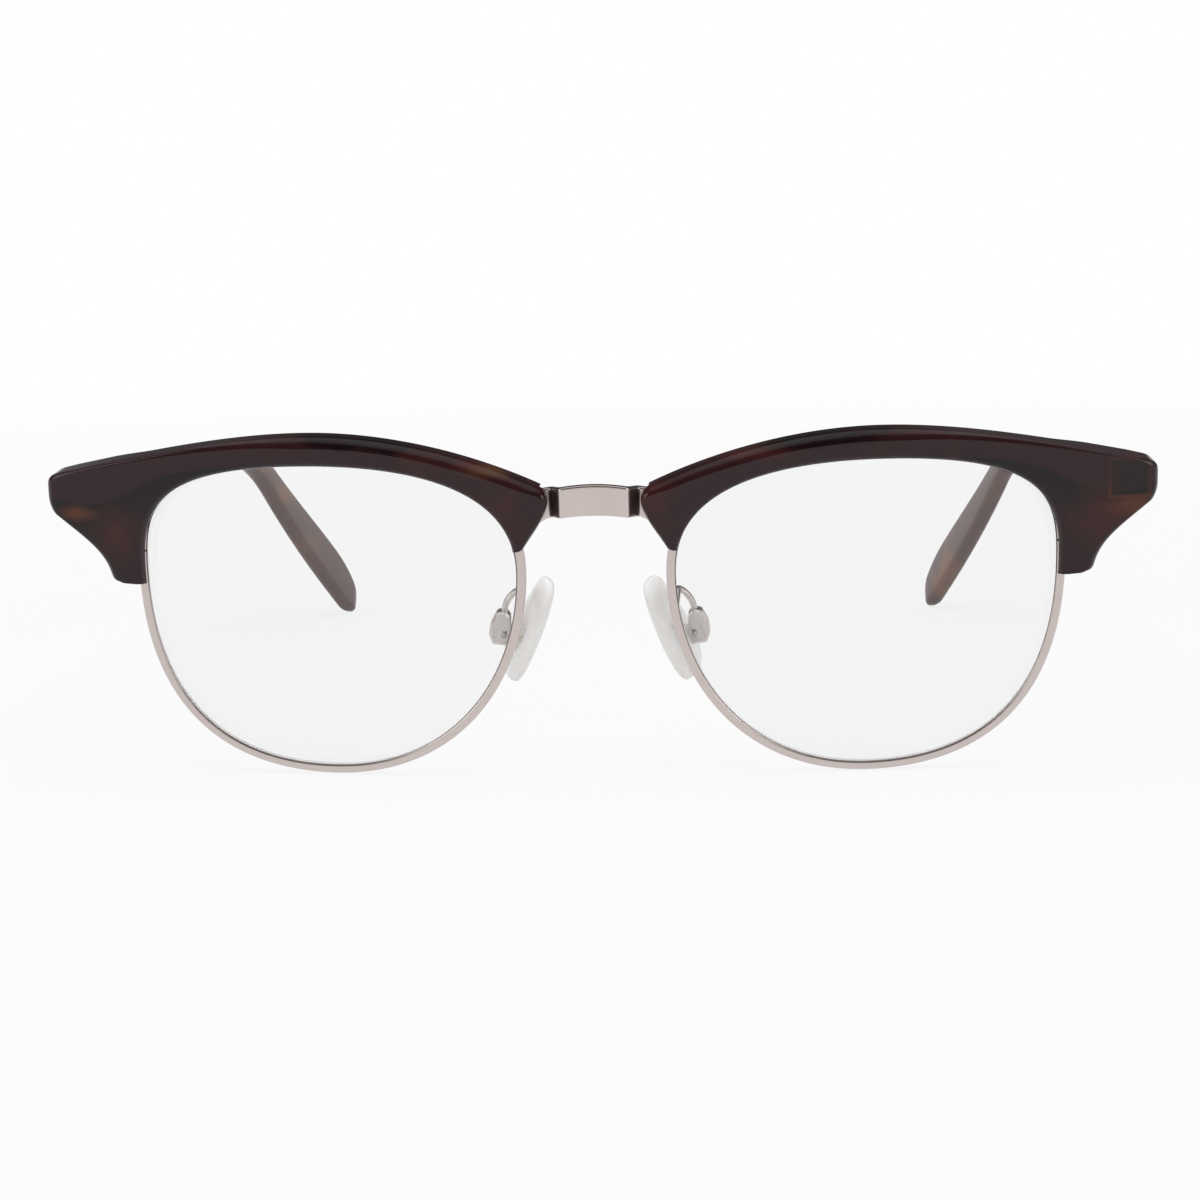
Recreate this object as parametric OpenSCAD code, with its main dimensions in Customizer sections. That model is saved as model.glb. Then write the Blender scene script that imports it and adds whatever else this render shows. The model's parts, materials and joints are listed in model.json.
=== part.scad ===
// Browline glasses, temples open, standing on the rims and the temple tips.
// X runs across the front (wearer's left is +X), Y runs back to the temple tips, Z is up.
// Everything is drawn for the +X side and mirrored for the -X side.
// The front is drawn upright in its own frame, [across, depth, height above the lens centres],
// and then leans forward by front_tilt.

/* [Lenses] */
// Width of each lens between its outermost points
lens_w = 51; // [48:0.5:54]
// Height of each lens
lens_h = 42; // [38:0.1:45]
// Distance between the two lenses
lens_gap = 20; // [18:0.5:23]
// Thickness of a lens
lens_t = 1.8; // [1.4:0.1:1.9]
// Radius of a lens's front surface
lens_base_r = 132; // [110:1:200]

/* [Eyewires] */
// Metal outside the lens's edge
wire_wall = 0.75; // [0.6:0.05:1]
// Depth of the groove that holds the lens
groove_depth = 0.45; // [0.3:0.05:0.6]
// Width of the groove at its mouth
groove_w = 1; // [0.8:0.05:1.2]
// Front-to-back size of the eyewire
wire_d = 2; // [1.8:0.1:2.4]
// Slit between the two closing blocks
lock_slit = 0.3; // [0.2:0.05:0.5]

/* [Front] */
// Forward lean of the front
front_tilt = 5.4; // [3:0.2:8]
// Radius of the front's sideways curve
front_r = 370; // [280:5:600]

/* [Brows] */
// Front-to-back thickness of a brow over the lens
brow_t = 4.2; // [4:0.1:5]
// Thickness of a brow at its hinged end
brow_end_t = 5.5; // [5.2:0.1:6.5]
// Height of the brow's crown above the lens's top
brow_rise = 3.5; // [3:0.1:4.5]
// Acetate in front of the eyewire
lip_t = 1.35; // [1.2:0.05:1.6]
// Space between the brows' inner ends
brow_gap = 12.2; // [10.5:0.1:14]
// Reach of the brow's end past the lens
brow_reach = 12.8; // [12.4:0.1:15]
// Width of the outer foot at its bottom
foot_w = 3.9; // [3.5:0.1:4.6]
// Rounding of the brow's front edges
brow_round = 0.9; // [0.5:0.05:1.1]

/* [Bridge] */
// Height of the bridge strip in the middle
bridge_h = 4.1; // [3.4:0.1:4.8]
// Thickness of the bridge strip
bridge_t = 1.2; // [1:0.05:1.4]
// Height of the strip's middle above the lens centres
bridge_z = 16; // [15.4:0.1:16.4]

/* [Hinges] */
// Height of the hinge's middle above the lens centres
hinge_z = 15.9; // [15.4:0.1:16.4]
// Radius of the hinge knuckles
knuckle_r = 1.05; // [0.95:0.05:1.1]
// Height of one of the five knuckles, with its gap
knuckle_pitch = 0.95; // [0.85:0.05:1]
// Radius of the hinge screw
hinge_screw_r = 0.6; // [0.5:0.05:0.65]

/* [Temples] */
// Length of a temple from the hinge to its tip, along the curve
temple_len = 145; // [135:1:150]
// Distance from the hinge to the start of the bend
bend_at = 92; // [86:1:98]
// Angle of the bend down behind the ear
bend_angle = 43; // [38:1:47]
// Radius of the bend along the temple's middle
bend_r = 24; // [18:1:32]
// Temple height at the hinge
temple_h = 6; // [5.6:0.1:6.4]
// Temple height at its slimmest
temple_waist = 3.8; // [3.6:0.1:4.8]
// Temple height near the tip
paddle_h = 6.6; // [5.5:0.1:8]
// Temple thickness at the hinge
temple_t = 3.9; // [3.6:0.1:4.2]
// Temple thickness from the bend on
tip_t = 2.6; // [2.4:0.1:3.2]
// Inward angle of the straight part
temple_toe = 1.4; // [0.6:0.1:3]
// Extra inward curve of the tip
tip_in = 12; // [7:0.5:13]
// Height of the flat core wire
core_h = 1.8; // [1.4:0.1:2.2]
// Thickness of the core wire
core_t = 1; // [0.8:0.05:1.2]

/* [Nose pads] */
// Length of a nose pad
pad_l = 15.5; // [13:0.5:16]
// Width of a nose pad
pad_w = 8; // [7:0.25:8.5]
// Thickness of a nose pad
pad_t = 2.5; // [2.2:0.1:2.8]
// Lean of a pad, top towards the middle
pad_lean = 22.5; // [18:0.5:26]
// Turn of a pad's face towards the wearer
pad_splay = 20; // [15:1:24]
// Radius of the pad arm's wire
arm_r = 0.42; // [0.35:0.01:0.48]
// Radius of the pad screw
pad_screw_r = 0.45; // [0.4:0.01:0.5]

/* [Hidden] */
$fn = 32;

// Fits
seat_gap = 0.04;
run_gap = 0.05;
open_gap = 0.08;
far = 40;

// Sampling of the curved outlines
arc_steps = 18;
rings_straight = 10;
rings_bend = 9;
rings_tip = 9;

// Curves and blends
function lerp(a, b, f) = a + (b - a) * f;
function ease(f) = let (c = min(max(f, 0), 1)) c * c * (3 - 2 * c);
function bezier(p, t) =
    let (s = 1 - t) s * s * s * p[0] + 3 * s * s * t * p[1] + 3 * s * t * t * p[2] + t * t * t * p[3];
function bezier_dir(p, t) =
    let (s = 1 - t) s * s * (p[1] - p[0]) + 2 * s * t * (p[2] - p[1]) + t * t * (p[3] - p[2]);
function unit(v) = v / norm(v);

// Lens outline: four curves between the points where it touches its box, clockwise from the top.
// Each pair of fullness values says how far the curve follows the box before it turns.
top_touch = [1.6, lens_h / 2];
outer_touch = [lens_w / 2, 6.5];
bottom_touch = [0.2, -lens_h / 2];
inner_touch = [-lens_w / 2, 6.2];
fullness = [[0.97, 0.50], [0.85, 0.43], [0.65, 0.51], [0.91, 0.35]];
lens_curves = [
    [top_touch,
     top_touch + [fullness[0][0] * (outer_touch.x - top_touch.x), 0],
     outer_touch + [0, fullness[0][1] * (top_touch.y - outer_touch.y)],
     outer_touch],
    [outer_touch,
     outer_touch - [0, fullness[1][0] * (outer_touch.y - bottom_touch.y)],
     bottom_touch + [fullness[1][1] * (outer_touch.x - bottom_touch.x), 0],
     bottom_touch],
    [bottom_touch,
     bottom_touch - [fullness[2][0] * (bottom_touch.x - inner_touch.x), 0],
     inner_touch - [0, fullness[2][1] * (inner_touch.y - bottom_touch.y)],
     inner_touch],
    [inner_touch,
     inner_touch + [0, fullness[3][0] * (top_touch.y - inner_touch.y)],
     top_touch - [fullness[3][1] * (top_touch.x - inner_touch.x), 0],
     top_touch]
];
lens_x = (lens_w + lens_gap) / 2;
// A point on the outline, moved out by off; t counts the four curves from the top
function edge(t, off) =
    let (wrapped = t - 4 * floor(t / 4), i = min(floor(wrapped), 3), f = wrapped - i,
         d = unit(bezier_dir(lens_curves[i], f)))
    bezier(lens_curves[i], f) + off * [-d.y, d.x];

// Depth of the lens's front surface behind the front's datum, at p measured from the lens centre
face_slope = lens_x / front_r;
function lens_depth(p) = face_slope * p.x + (p.x * p.x + p.y * p.y) / (2 * lens_base_r);
// Depth of the brow's front face at distance x from the middle
function face_depth(x) = x * x / (2 * front_r);
// A point on the front, from a place on the lens plane and a depth behind the eyewire's front
function on_wire(p, back) = [lens_x + p.x, lens_depth(p) + lip_t + back, p.y];
// The same beside the lens's edge, with the depth kept that of the edge itself
function by_wire(t, off, back) =
    [lens_x + edge(t, off).x, lens_depth(edge(t, 0)) + lip_t + back, edge(t, off).y];

// Standing height and centring
wire_low = on_wire(bottom_touch - [0, wire_wall], 0);
function tilted(p) =
    [p.x, p.y * cos(front_tilt) - p.z * sin(front_tilt), p.y * sin(front_tilt) + p.z * cos(front_tilt)];
lift = -tilted(wire_low).z;

// Brow outline
crown = [lens_x + top_touch.x, lens_h / 2 + brow_rise];
end_x = lens_x + lens_w / 2 + brow_reach;
nose_x = brow_gap / 2;
wire_out_x = lens_x + lens_w / 2 + wire_wall;
foot_z = 4.5;
nose_t = -0.912;
foot_t = 1.03;
end_rise = 3.3;
end_drop = 2.6;
end_round = 1.9;
nose_rise = 1.7;
nose_foot = [lens_x + edge(nose_t, wire_wall).x - 0.3, edge(nose_t, wire_wall).y];
nose_high = [nose_x, bridge_z - 0.1];
nose_top = [nose_x + 1.2, bridge_z + nose_rise];
end_top = [end_x - end_round, hinge_z + end_rise];
end_high = [end_x, hinge_z + 1.6];
end_low = [end_x - 1.3, hinge_z - end_drop];
foot_out = [wire_out_x + foot_w - 0.3, foot_z + 1.7];
foot_tip = [wire_out_x + foot_w - 1.5, foot_z];
// Each stretch of the outer outline: its curve, the lens outline it faces, and its steps
brow_curves = [
    [[nose_foot, nose_foot + [-1.1, 1.6], nose_high - [0, 1.9], nose_high], nose_t, -0.80, 5],
    [[nose_high, nose_high + [0, 0.9], nose_top - [0.8, 0.4], nose_top], -0.80, -0.70, 3],
    [[nose_top, nose_top + [9.2, 4.3], crown - [10, 0], crown], -0.70, 0, 10],
    [[crown, crown + [11, 0], end_top + [-11.8, 2.7], end_top], 0, 0.66, 11],
    [[end_top, end_top + [1.1, -0.25], end_high + [0, 1.1], end_high], 0.66, 0.74, 3],
    [[end_high, end_high - [0, 1.5], end_low + [0.9, 1.3], end_low], 0.74, 0.80, 3],
    [[end_low, end_low - [3.3, 2.7], foot_out + [1.1, 2.9], foot_out], 0.80, 0.99, 7],
    [[foot_out, foot_out - [0.4, 1.1], foot_tip + [0.9, 0.1], foot_tip], 0.99, foot_t, 3]
];
// Stations along the brow: [place on the lens outline, outer point]
brow_stations = concat(
    [[nose_t, nose_foot]],
    [for (c = brow_curves) each
        [for (i = [1:c[3]]) [lerp(c[1], c[2], i / c[3]), bezier(c[0], i / c[3])]]]
);
// The lip covers the eyewire but draws back from it over the outer foot
function lip_edge(t) = lerp(-groove_depth, -0.2, ease((t - 0.6) / 0.3));
function brow_back(x) =
    face_depth(x) + lerp(brow_t, brow_end_t, ease((x - lens_x - lens_w / 2 + 2) / 6));
// Cross-section of a brow between the lens's edge and the outer point, from the rebate's corner on
function brow_ring(t, outer) =
    let (e = edge(t, 0),
         seat_e = edge(t, wire_wall + seat_gap),
         lip = [lens_x, 0] + edge(t, lip_edge(t)),
         seat = [lens_x, 0] + seat_e,
         across = outer - lip,
         dir = unit(across),
         r = min(brow_round, norm(across) / 3),
         crown_h = 0.3,
         floor_y = lens_depth(e) + lip_t - seat_gap,
         at = function (p, y) [p.x, y, p.y],
         front = function (p) face_depth(p.x))
    [at(seat, floor_y),
     at(lip, floor_y),
     at(lip, front(lip) + 0.6 * r + crown_h),
     at(lip + 0.3 * r * dir, front(lip) + 0.2 * r + crown_h),
     at(lip + r * dir, front(lip) + 0.6 * crown_h),
     at(lip + across / 2, front(lip + across / 2)),
     at(outer - r * dir, front(outer) + 0.6 * crown_h),
     at(outer - 0.3 * r * dir, front(outer) + 0.3 * r + crown_h),
     at(outer, front(outer) + r + crown_h),
     at(outer, brow_back(outer.x) - 0.5 * r),
     at(outer - 0.5 * r * dir, brow_back(outer.x)),
     at(seat, brow_back(seat.x))];
brow_rings = [for (s = brow_stations) brow_ring(s[0], s[1])];

// Hinge place, in the front's frame
temple_out_x = end_x - 1.9;
face_out = knuckle_r + 0.15;
hinge_x = temple_out_x - temple_t - face_out;
hinge_back = knuckle_r + 0.25;
butt_depth = face_depth(hinge_x) + brow_end_t - 0.1;
hinge_pt = [hinge_x, butt_depth + hinge_back, hinge_z];
knuckle_h = knuckle_pitch - run_gap;
leaf_h = 3.8;
leaf_t = 1;
leaf_sink = 2.7;
leaf_w = 5.3;
temple_leaf_l = 10.4;

// Temple centreline in the temple's frame, which has the hinge's middle at its origin
butt_y = -hinge_back + open_gap;
straight_l = bend_at - butt_y;
bend_l = bend_r * bend_angle * PI / 180;
tip_l = temple_len - butt_y - straight_l - bend_l;
round_l = 2.4;
function temple_turn(s) = min(max((s - straight_l) / bend_l, 0), 1) * bend_angle;
function temple_mid(s) =
    let (a = temple_turn(s), tip = max(s - straight_l - bend_l, 0),
         past = max(s - straight_l, 0) / (bend_l + tip_l))
    [face_out + temple_t / 2 - s * tan(temple_toe) - tip_in * pow(past, 1.4),
     butt_y + min(s, straight_l) + bend_r * sin(a) + tip * cos(a),
     -bend_r * (1 - cos(a)) - tip * sin(a)];
total_l = straight_l + bend_l + tip_l;
waist_at = 0.9 * straight_l;
paddle_at = total_l - 9;
function temple_high(s) =
    s < waist_at ? lerp(temple_h, temple_waist, ease(s / waist_at))
    : lerp(temple_waist, paddle_h, ease((s - waist_at) / (paddle_at - waist_at)));
function temple_thick(s) = lerp(temple_t, tip_t, min(s / straight_l, 1));
// A cross-section that keeps to the plane square to the side view, shrunk round the middle
function temple_ring(s, high, thick, corner) =
    let (c = temple_mid(s), a = temple_turn(s), r = min(corner, 0.45 * high, 0.45 * thick))
    [for (q = [0:3]) each
        [for (i = [0:2])
            let (phi = 90 * q + 45 * i,
                 sx = (q == 0 || q == 3) ? 1 : -1,
                 sz = q < 2 ? 1 : -1,
                 x = sx * (thick / 2 - r) + r * cos(phi),
                 z = sz * (high / 2 - r) + r * sin(phi))
            c + [x, z * sin(a), z * cos(a)]]];
temple_steps = concat(
    [for (i = [0:rings_straight - 1]) straight_l * i / rings_straight],
    [for (i = [0:rings_bend - 1]) straight_l + bend_l * i / rings_bend],
    [for (i = [0:rings_tip]) straight_l + bend_l + (tip_l - round_l) * i / rings_tip]
);
temple_corner = 1.3;
temple_rings = concat(
    [for (s = temple_steps) temple_ring(s, temple_high(s), temple_thick(s), temple_corner)],
    [for (f = [0.4, 0.7, 0.88, 0.98])
        let (s = total_l - round_l * (1 - f), k = pow(1 - pow(f, 3), 1 / 3))
        temple_ring(s, temple_high(s) * k, temple_thick(s) * k, temple_corner)]
);
// The temples slope down until their tips stand on the same table as the eyewires
hinge_high = tilted(hinge_pt).z + lift;
tip_points = [for (ring = temple_rings) each [for (p = ring) if (p.y > bend_at) p]];
function sunk(p, slope) = p.z * cos(slope) - p.y * sin(slope);
function lowest(slope) =
    let (low = min([for (p = tip_points) sunk(p, slope)]))
    [for (p = tip_points) if (sunk(p, slope) == low) p][0];
function settle(slope, tries) =
    tries == 0 ? slope
    : let (p = lowest(slope), reach = norm([p.y, p.z]))
      settle(acos(-hinge_high / reach) - atan2(p.y, p.z), tries - 1);
temple_slope = settle(2, 4);

// Front-to-back middle of the whole object, which the origin stands under
front_most = min([for (ring = brow_rings) each [for (p = ring) tilted(p).y]]);
back_most = tilted(hinge_pt).y
    + max([for (p = tip_points) p.y * cos(temple_slope) + p.z * sin(temple_slope)]);
mid_y = (front_most + back_most) / 2;

// Frames
module side(s) {
    mirror([s < 0 ? 1 : 0, 0, 0]) children();
}
module front_frame(s = 1) {
    side(s) translate([0, -mid_y, lift]) rotate([front_tilt, 0, 0]) children();
}
module hinge_in_front() {
    translate(hinge_pt) rotate([-front_tilt - temple_slope, 0, 0]) children();
}
module temple_frame(s) {
    side(s) translate(tilted(hinge_pt) + [0, -mid_y, lift]) rotate([-temple_slope, 0, 0]) children();
}

// Closed solid through rings of equal length; the ends close on the ring's first point,
// or on a point of their own when one is given
module loft(rings, closed = false, first = [], last = []) {
    n = len(rings);
    m = len(rings[0]);
    capped = len(first) > 0;
    sides = [for (i = [0:closed ? n - 1 : n - 2], j = [0:m - 1])
        let (a = i * m + j, b = i * m + (j + 1) % m,
             c = ((i + 1) % n) * m + (j + 1) % m, d = ((i + 1) % n) * m + j)
        each [[a, b, c], [a, c, d]]];
    ends = closed ? []
        : capped ? concat([for (j = [0:m - 1]) [n * m, (j + 1) % m, j]],
                          [for (j = [0:m - 1]) [n * m + 1, (n - 1) * m + j, (n - 1) * m + (j + 1) % m]])
        : concat([for (j = [1:m - 2]) [0, j + 1, j]],
                 [for (j = [1:m - 2]) [(n - 1) * m, (n - 1) * m + j, (n - 1) * m + j + 1]]);
    polyhedron(points = concat([for (r = rings) each r], capped ? [first, last] : []),
               faces = concat(sides, ends), convexity = 8);
}
// Round wire along points, its sides kept square to the path
function wire_ring(p, dir, r, n) =
    let (t = unit(dir), u = unit([1, 0, 0] - t.x * t), v = cross(t, u))
    [for (i = [n:-1:1]) p + r * (cos(360 * i / n) * u + sin(360 * i / n) * v)];

// Eyewire: a grooved channel round the lens, split between the closing blocks
lock_t = 0.9;
lock_steps = 4 * arc_steps;
split_f = lock_slit / 2 / norm(3 * bezier_dir(lens_curves[0], lock_t));
function wire_section(t) =
    let (r = 0.3, out = wire_wall, inn = -groove_depth, mid = wire_d / 2,
         at = function (off, back) by_wire(t, off, back))
    [at(0, mid), at(inn, mid - groove_w / 2), at(inn, 0.6 * r), at(inn + 0.6 * r, 0),
     at(out - r, 0), at(out, r), at(out, wire_d - r), at(out - r, wire_d),
     at(inn, wire_d), at(inn, mid + groove_w / 2)];
module rim_shape() {
    loft([for (i = [0:lock_steps])
        wire_section(lerp(lock_t + split_f, lock_t + 4 - split_f, i / lock_steps))]);
}
module rim(s) {
    color([0.78, 0.73, 0.71]) front_frame(s) rim_shape();
}

// Lens: a curved disc with a ridge round its edge that sits in the groove
function lens_ring(scale_f, back) =
    [for (i = [lock_steps:-1:1])
        on_wire(scale_f * edge(4 * i / lock_steps, -groove_depth - run_gap), back)];
function ridge_ring(off, back) = [for (i = [lock_steps:-1:1]) by_wire(4 * i / lock_steps, off, back)];
module lens(s) {
    foot = -groove_depth - run_gap;
    mid = wire_d / 2;
    front = mid - lens_t / 2;
    back = mid + lens_t / 2;
    color([0.86, 0.92, 0.93, 0.35])
    front_frame(s)
    loft([lens_ring(0.33, front), lens_ring(0.66, front), lens_ring(1, front),
          ridge_ring(foot, mid - groove_w / 2), ridge_ring(-run_gap, mid),
          ridge_ring(foot, mid + groove_w / 2),
          lens_ring(1, back), lens_ring(0.66, back), lens_ring(0.33, back)],
         first = on_wire([0, 0], front), last = on_wire([0, 0], back));
}

// Closing blocks, their screw and the brow's pocket for them
lock_p = edge(lock_t, wire_wall);
lock_w = 2.5;
lock_h = 1.7;
lock_d = 2.2;
lock_screw_r = 0.55;
lock_head_r = 0.85;
lock_head_h = 0.6;
lock_at = on_wire(lock_p, wire_d / 2) + [lock_w / 2 - 0.3, 0, 0];
module lock_block(s, up) {
    color([0.78, 0.73, 0.71])
    front_frame(s)
    difference() {
        translate(lock_at + [0, 0, up * (lock_slit / 2 + lock_h / 2)])
            cube([lock_w, lock_d, lock_h], center = true);
        translate(lock_at) cylinder(r = lock_screw_r, h = far, center = true);
        rim_shape();
    }
}
lock_screw_low = -lock_slit / 2 - lock_h;
lock_screw_high = lock_slit / 2 + lock_h + 1.6;
module lock_screw(s) {
    color([0.7, 0.68, 0.66])
    front_frame(s)
    translate(lock_at + [0, 0, lock_screw_low])
    difference() {
        union() {
            cylinder(r = lock_screw_r, h = lock_screw_high - lock_screw_low);
            translate([0, 0, -lock_head_h]) cylinder(r = lock_head_r, h = lock_head_h);
        }
        translate([0, 0, -lock_head_h]) cube([2 * far, 0.25, 0.5], center = true);
    }
}
module lock_pocket() {
    room = 0.05;
    translate(lock_at + [-lock_w / 2, -lock_d / 2 - room, -far / 4])
        cube([lock_w + room, far / 4, far / 4 + lock_slit / 2 + lock_h]);
    translate(lock_at) cylinder(r = lock_screw_r, h = lock_screw_high + room);
}

// Brow: the acetate half over each lens, rebated for the eyewire
brow_seat = 2.4;
brow_screw_in = 3.1;
brow_screw_drop = 2.2;
brow_screw_at = [nose_x + brow_screw_in, brow_seat + bridge_t, bridge_z - brow_screw_drop];
brow_screw_r = 0.6;
brow_screw_l = 2.9;
brow_head_r = 1.05;
brow_head_h = 0.5;
module brow(s) {
    color([0.16, 0.08, 0.07])
    front_frame(s)
    difference() {
        loft(brow_rings);
        translate([0, brow_seat, -far / 2])
            cube([lens_x + edge(-0.70, wire_wall).x, far, far / 2 + bridge_z + 1.6]);
        translate(brow_screw_at) rotate([90, 0, 0]) cylinder(r = brow_screw_r, h = brow_screw_l);
        lock_pocket();
        hinge_in_front() {
            translate([-face_out, -hinge_back, -far / 2]) cube([far, far, far]);
            front_leaf_root();
        }
    }
}
module brow_screw(s) {
    color([0.7, 0.68, 0.66])
    front_frame(s)
    translate(brow_screw_at)
    rotate([90, 0, 0])
    difference() {
        union() {
            cylinder(r = brow_screw_r, h = brow_screw_l);
            translate([0, 0, -brow_head_h]) cylinder(r = brow_head_r, h = brow_head_h);
        }
        translate([0, 0, -brow_head_h]) cube([2 * far, 0.3, 0.5], center = true);
    }
}

// Bridge: an arched strip that dives behind both brows and ends on the eyewires
bridge_front = 0.5;
dive_from = 4.2;
dive_to = 6;
bridge_low = [dive_to, bridge_z - bridge_h / 2 - 0.6];
bridge_high = [dive_to, bridge_z + bridge_h / 2 - 0.7];
weld_low_t = -0.895;
weld_high_t = -0.74;
weld_bite = 0.25;
// The wing runs in strands, each a curve from the strip's end to its own place on the eyewire
function wing_strand(f) =
    let (from = lerp(bridge_low, bridge_high, f),
         to = [lens_x, 0] + edge(lerp(weld_low_t, weld_high_t, f), wire_wall - weld_bite))
    [from, from + lerp([1, -0.45], [2, -0.2], f), to + lerp([-1.1, 1.6], [-2, 1.4], f), to];
function strip_depth(x) = lerp(bridge_front, brow_seat, ease((x - dive_from) / (dive_to - dive_from)));
// Cross-section from its lower to its upper point, with small bevels on both edges
function strip_ring(points, y, sx) =
    let (b = 0.25, n = len(points) - 1, at = function (p, d) [sx * p.x, y + d, p.y])
    concat([at(points[0], b)],
           [for (i = [0:n]) at(lerp(points[i], points[n - i], i == 0 || i == n ? 0.06 : 0), 0)],
           [at(points[n], b), at(points[n], bridge_t - b)],
           [for (i = [n:-1:0]) at(lerp(points[i], points[n - i], i == 0 || i == n ? 0.06 : 0), bridge_t)],
           [at(points[0], bridge_t - b)]);
function middle_ring(x, sx) =
    let (f = abs(x) / dive_to,
         low = [x, lerp(bridge_z - bridge_h / 2, bridge_low.y, f * f)],
         high = [x, lerp(bridge_z + bridge_h / 2, bridge_high.y, f * f)])
    strip_ring([for (i = [0:3]) lerp(low, high, i / 3)], strip_depth(x), sx);
function wing_ring(f, sx) =
    strip_ring([for (i = [0:3]) bezier(wing_strand(i / 3), f)], brow_seat, sx);
half_steps = [0, 1.4, 2.8, 3.8, 4.4, 4.8, 5.2, 5.6];
module bridge() {
    wing = [1, 0.75, 0.5, 0.25, 0];
    color([0.78, 0.73, 0.71])
    front_frame()
    difference() {
        loft(concat([for (f = wing) wing_ring(f, -1)],
                    [for (i = [len(half_steps) - 1:-1:1]) middle_ring(half_steps[i], -1)],
                    [for (x = half_steps) middle_ring(x, 1)],
                    [for (i = [len(wing) - 1:-1:0]) wing_ring(wing[i], 1)]));
        for (s = [-1, 1])
            side(s) {
                rim_shape();
                translate(brow_screw_at + [0, 1, 0]) rotate([90, 0, 0])
                    cylinder(r = brow_screw_r + run_gap, h = 5);
            }
    }
}

// Hinge: three knuckles on the front leaf, two on the temple leaf, one screw through all five
module front_leaf_root() {
    translate([-knuckle_r, -hinge_back - leaf_sink, -leaf_h / 2]) cube([2 * knuckle_r, leaf_sink, leaf_h]);
    translate([-knuckle_r, -hinge_back - leaf_sink, -leaf_h / 2])
        cube([knuckle_r + leaf_w, leaf_t, leaf_h]);
}
module front_hinge(s) {
    color([0.74, 0.70, 0.68])
    front_frame(s)
    hinge_in_front()
    difference() {
        union() {
            front_leaf_root();
            for (i = [-2, 0, 2])
                translate([0, 0, i * knuckle_pitch]) {
                    cylinder(r = knuckle_r, h = knuckle_h, center = true);
                    translate([-knuckle_r, -hinge_back, -knuckle_h / 2])
                        cube([2 * knuckle_r, hinge_back, knuckle_h]);
                }
        }
        cylinder(r = hinge_screw_r, h = 6 * knuckle_pitch, center = true);
    }
}
module temple_leaf_plate() {
    translate([face_out, 0, -leaf_h / 2]) cube([leaf_t, temple_leaf_l, leaf_h]);
}
module temple_hinge(s) {
    color([0.74, 0.70, 0.68])
    temple_frame(s)
    difference() {
        union() {
            temple_leaf_plate();
            for (i = [-1, 1])
                translate([0, 0, i * knuckle_pitch]) {
                    cylinder(r = knuckle_r, h = knuckle_h, center = true);
                    translate([0, 0, -knuckle_h / 2]) cube([face_out + leaf_t, knuckle_r, knuckle_h]);
                }
        }
        cylinder(r = hinge_screw_r + run_gap, h = 6 * knuckle_pitch, center = true);
    }
}
hinge_head_h = 0.45;
module hinge_screw(s) {
    stack = 4 * knuckle_pitch + knuckle_h;
    color([0.7, 0.68, 0.66])
    front_frame(s)
    hinge_in_front()
    translate([0, 0, -stack / 2])
    difference() {
        union() {
            cylinder(r = hinge_screw_r, h = stack);
            translate([0, 0, stack]) cylinder(r = knuckle_r - 0.1, h = hinge_head_h);
        }
        translate([0, 0, stack + hinge_head_h]) cube([2 * far, 0.3, 0.4], center = true);
    }
}

// Temple: acetate round a flat core wire that is joined to the hinge leaf
core_from = temple_leaf_l - butt_y;
core_end = total_l - 12;
core_steps = concat(
    [core_from, 0.6 * straight_l],
    [for (i = [0:5]) straight_l + bend_l * i / 5],
    [core_end]
);
module core_shape() {
    loft([for (s = core_steps) temple_ring(s, core_h, core_t, 0.3)]);
}
module core_wire(s) {
    color([0.72, 0.70, 0.68]) temple_frame(s) core_shape();
}
module temple(s) {
    color([0.20, 0.11, 0.09])
    temple_frame(s)
    difference() {
        loft(temple_rings);
        core_shape();
        translate([face_out - 1, 0, -leaf_h / 2]) cube([1, temple_leaf_l, leaf_h]);
        temple_leaf_plate();
    }
}

// Nose pads, each rocking on a screw in a box at the end of its arm
pad_screw_at = [lens_x - lens_w / 2 + 2.7, 8, -3.4];
pad_at = pad_screw_at + [-3, 1.2, -0.3];
box_d = 2.6;
box_wall = 0.4;
lug_t = box_d - 2 * box_wall - 2 * run_gap;
lug_r = 0.95;
lug_reach = pad_screw_at.x - pad_at.x + 0.4;
box_outline = [
    [-0.7, 2.9], [0.1, 3.5], [1, 2.7], [2.2, 0.3], [1.9, -1], [0.8, -1.7], [-0.2, -1.7], [-0.7, -0.6]
];
module pad_frame() {
    translate(pad_at) rotate([0, -pad_lean, 0]) rotate([0, 0, -pad_splay]) children();
}
module pad_pin(r, l) {
    translate(pad_screw_at) rotate([90, 0, 0]) cylinder(r = r, h = l, center = true);
}
module box_block() {
    translate(pad_screw_at + [0, box_d / 2, 0])
        rotate([90, 0, 0]) linear_extrude(box_d) polygon(box_outline);
}
module pad_box(s) {
    color([0.78, 0.74, 0.72])
    front_frame(s)
    difference() {
        box_block();
        translate(pad_screw_at + [-0.5, box_d / 2 - box_wall, 0])
            rotate([90, 0, 0]) linear_extrude(box_d - 2 * box_wall) polygon(box_outline);
        pad_pin(pad_screw_r, far);
    }
}
module pad_screw(s) {
    head_r = 0.7;
    head_h = 0.3;
    color([0.66, 0.64, 0.62])
    front_frame(s) {
        pad_pin(pad_screw_r, box_d);
        translate(pad_screw_at - [0, box_d / 2, 0]) rotate([90, 0, 0])
            difference() {
                cylinder(r = head_r, h = head_h);
                translate([0, 0, head_h]) cube([far, 0.2, 0.2], center = true);
            }
    }
}
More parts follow.
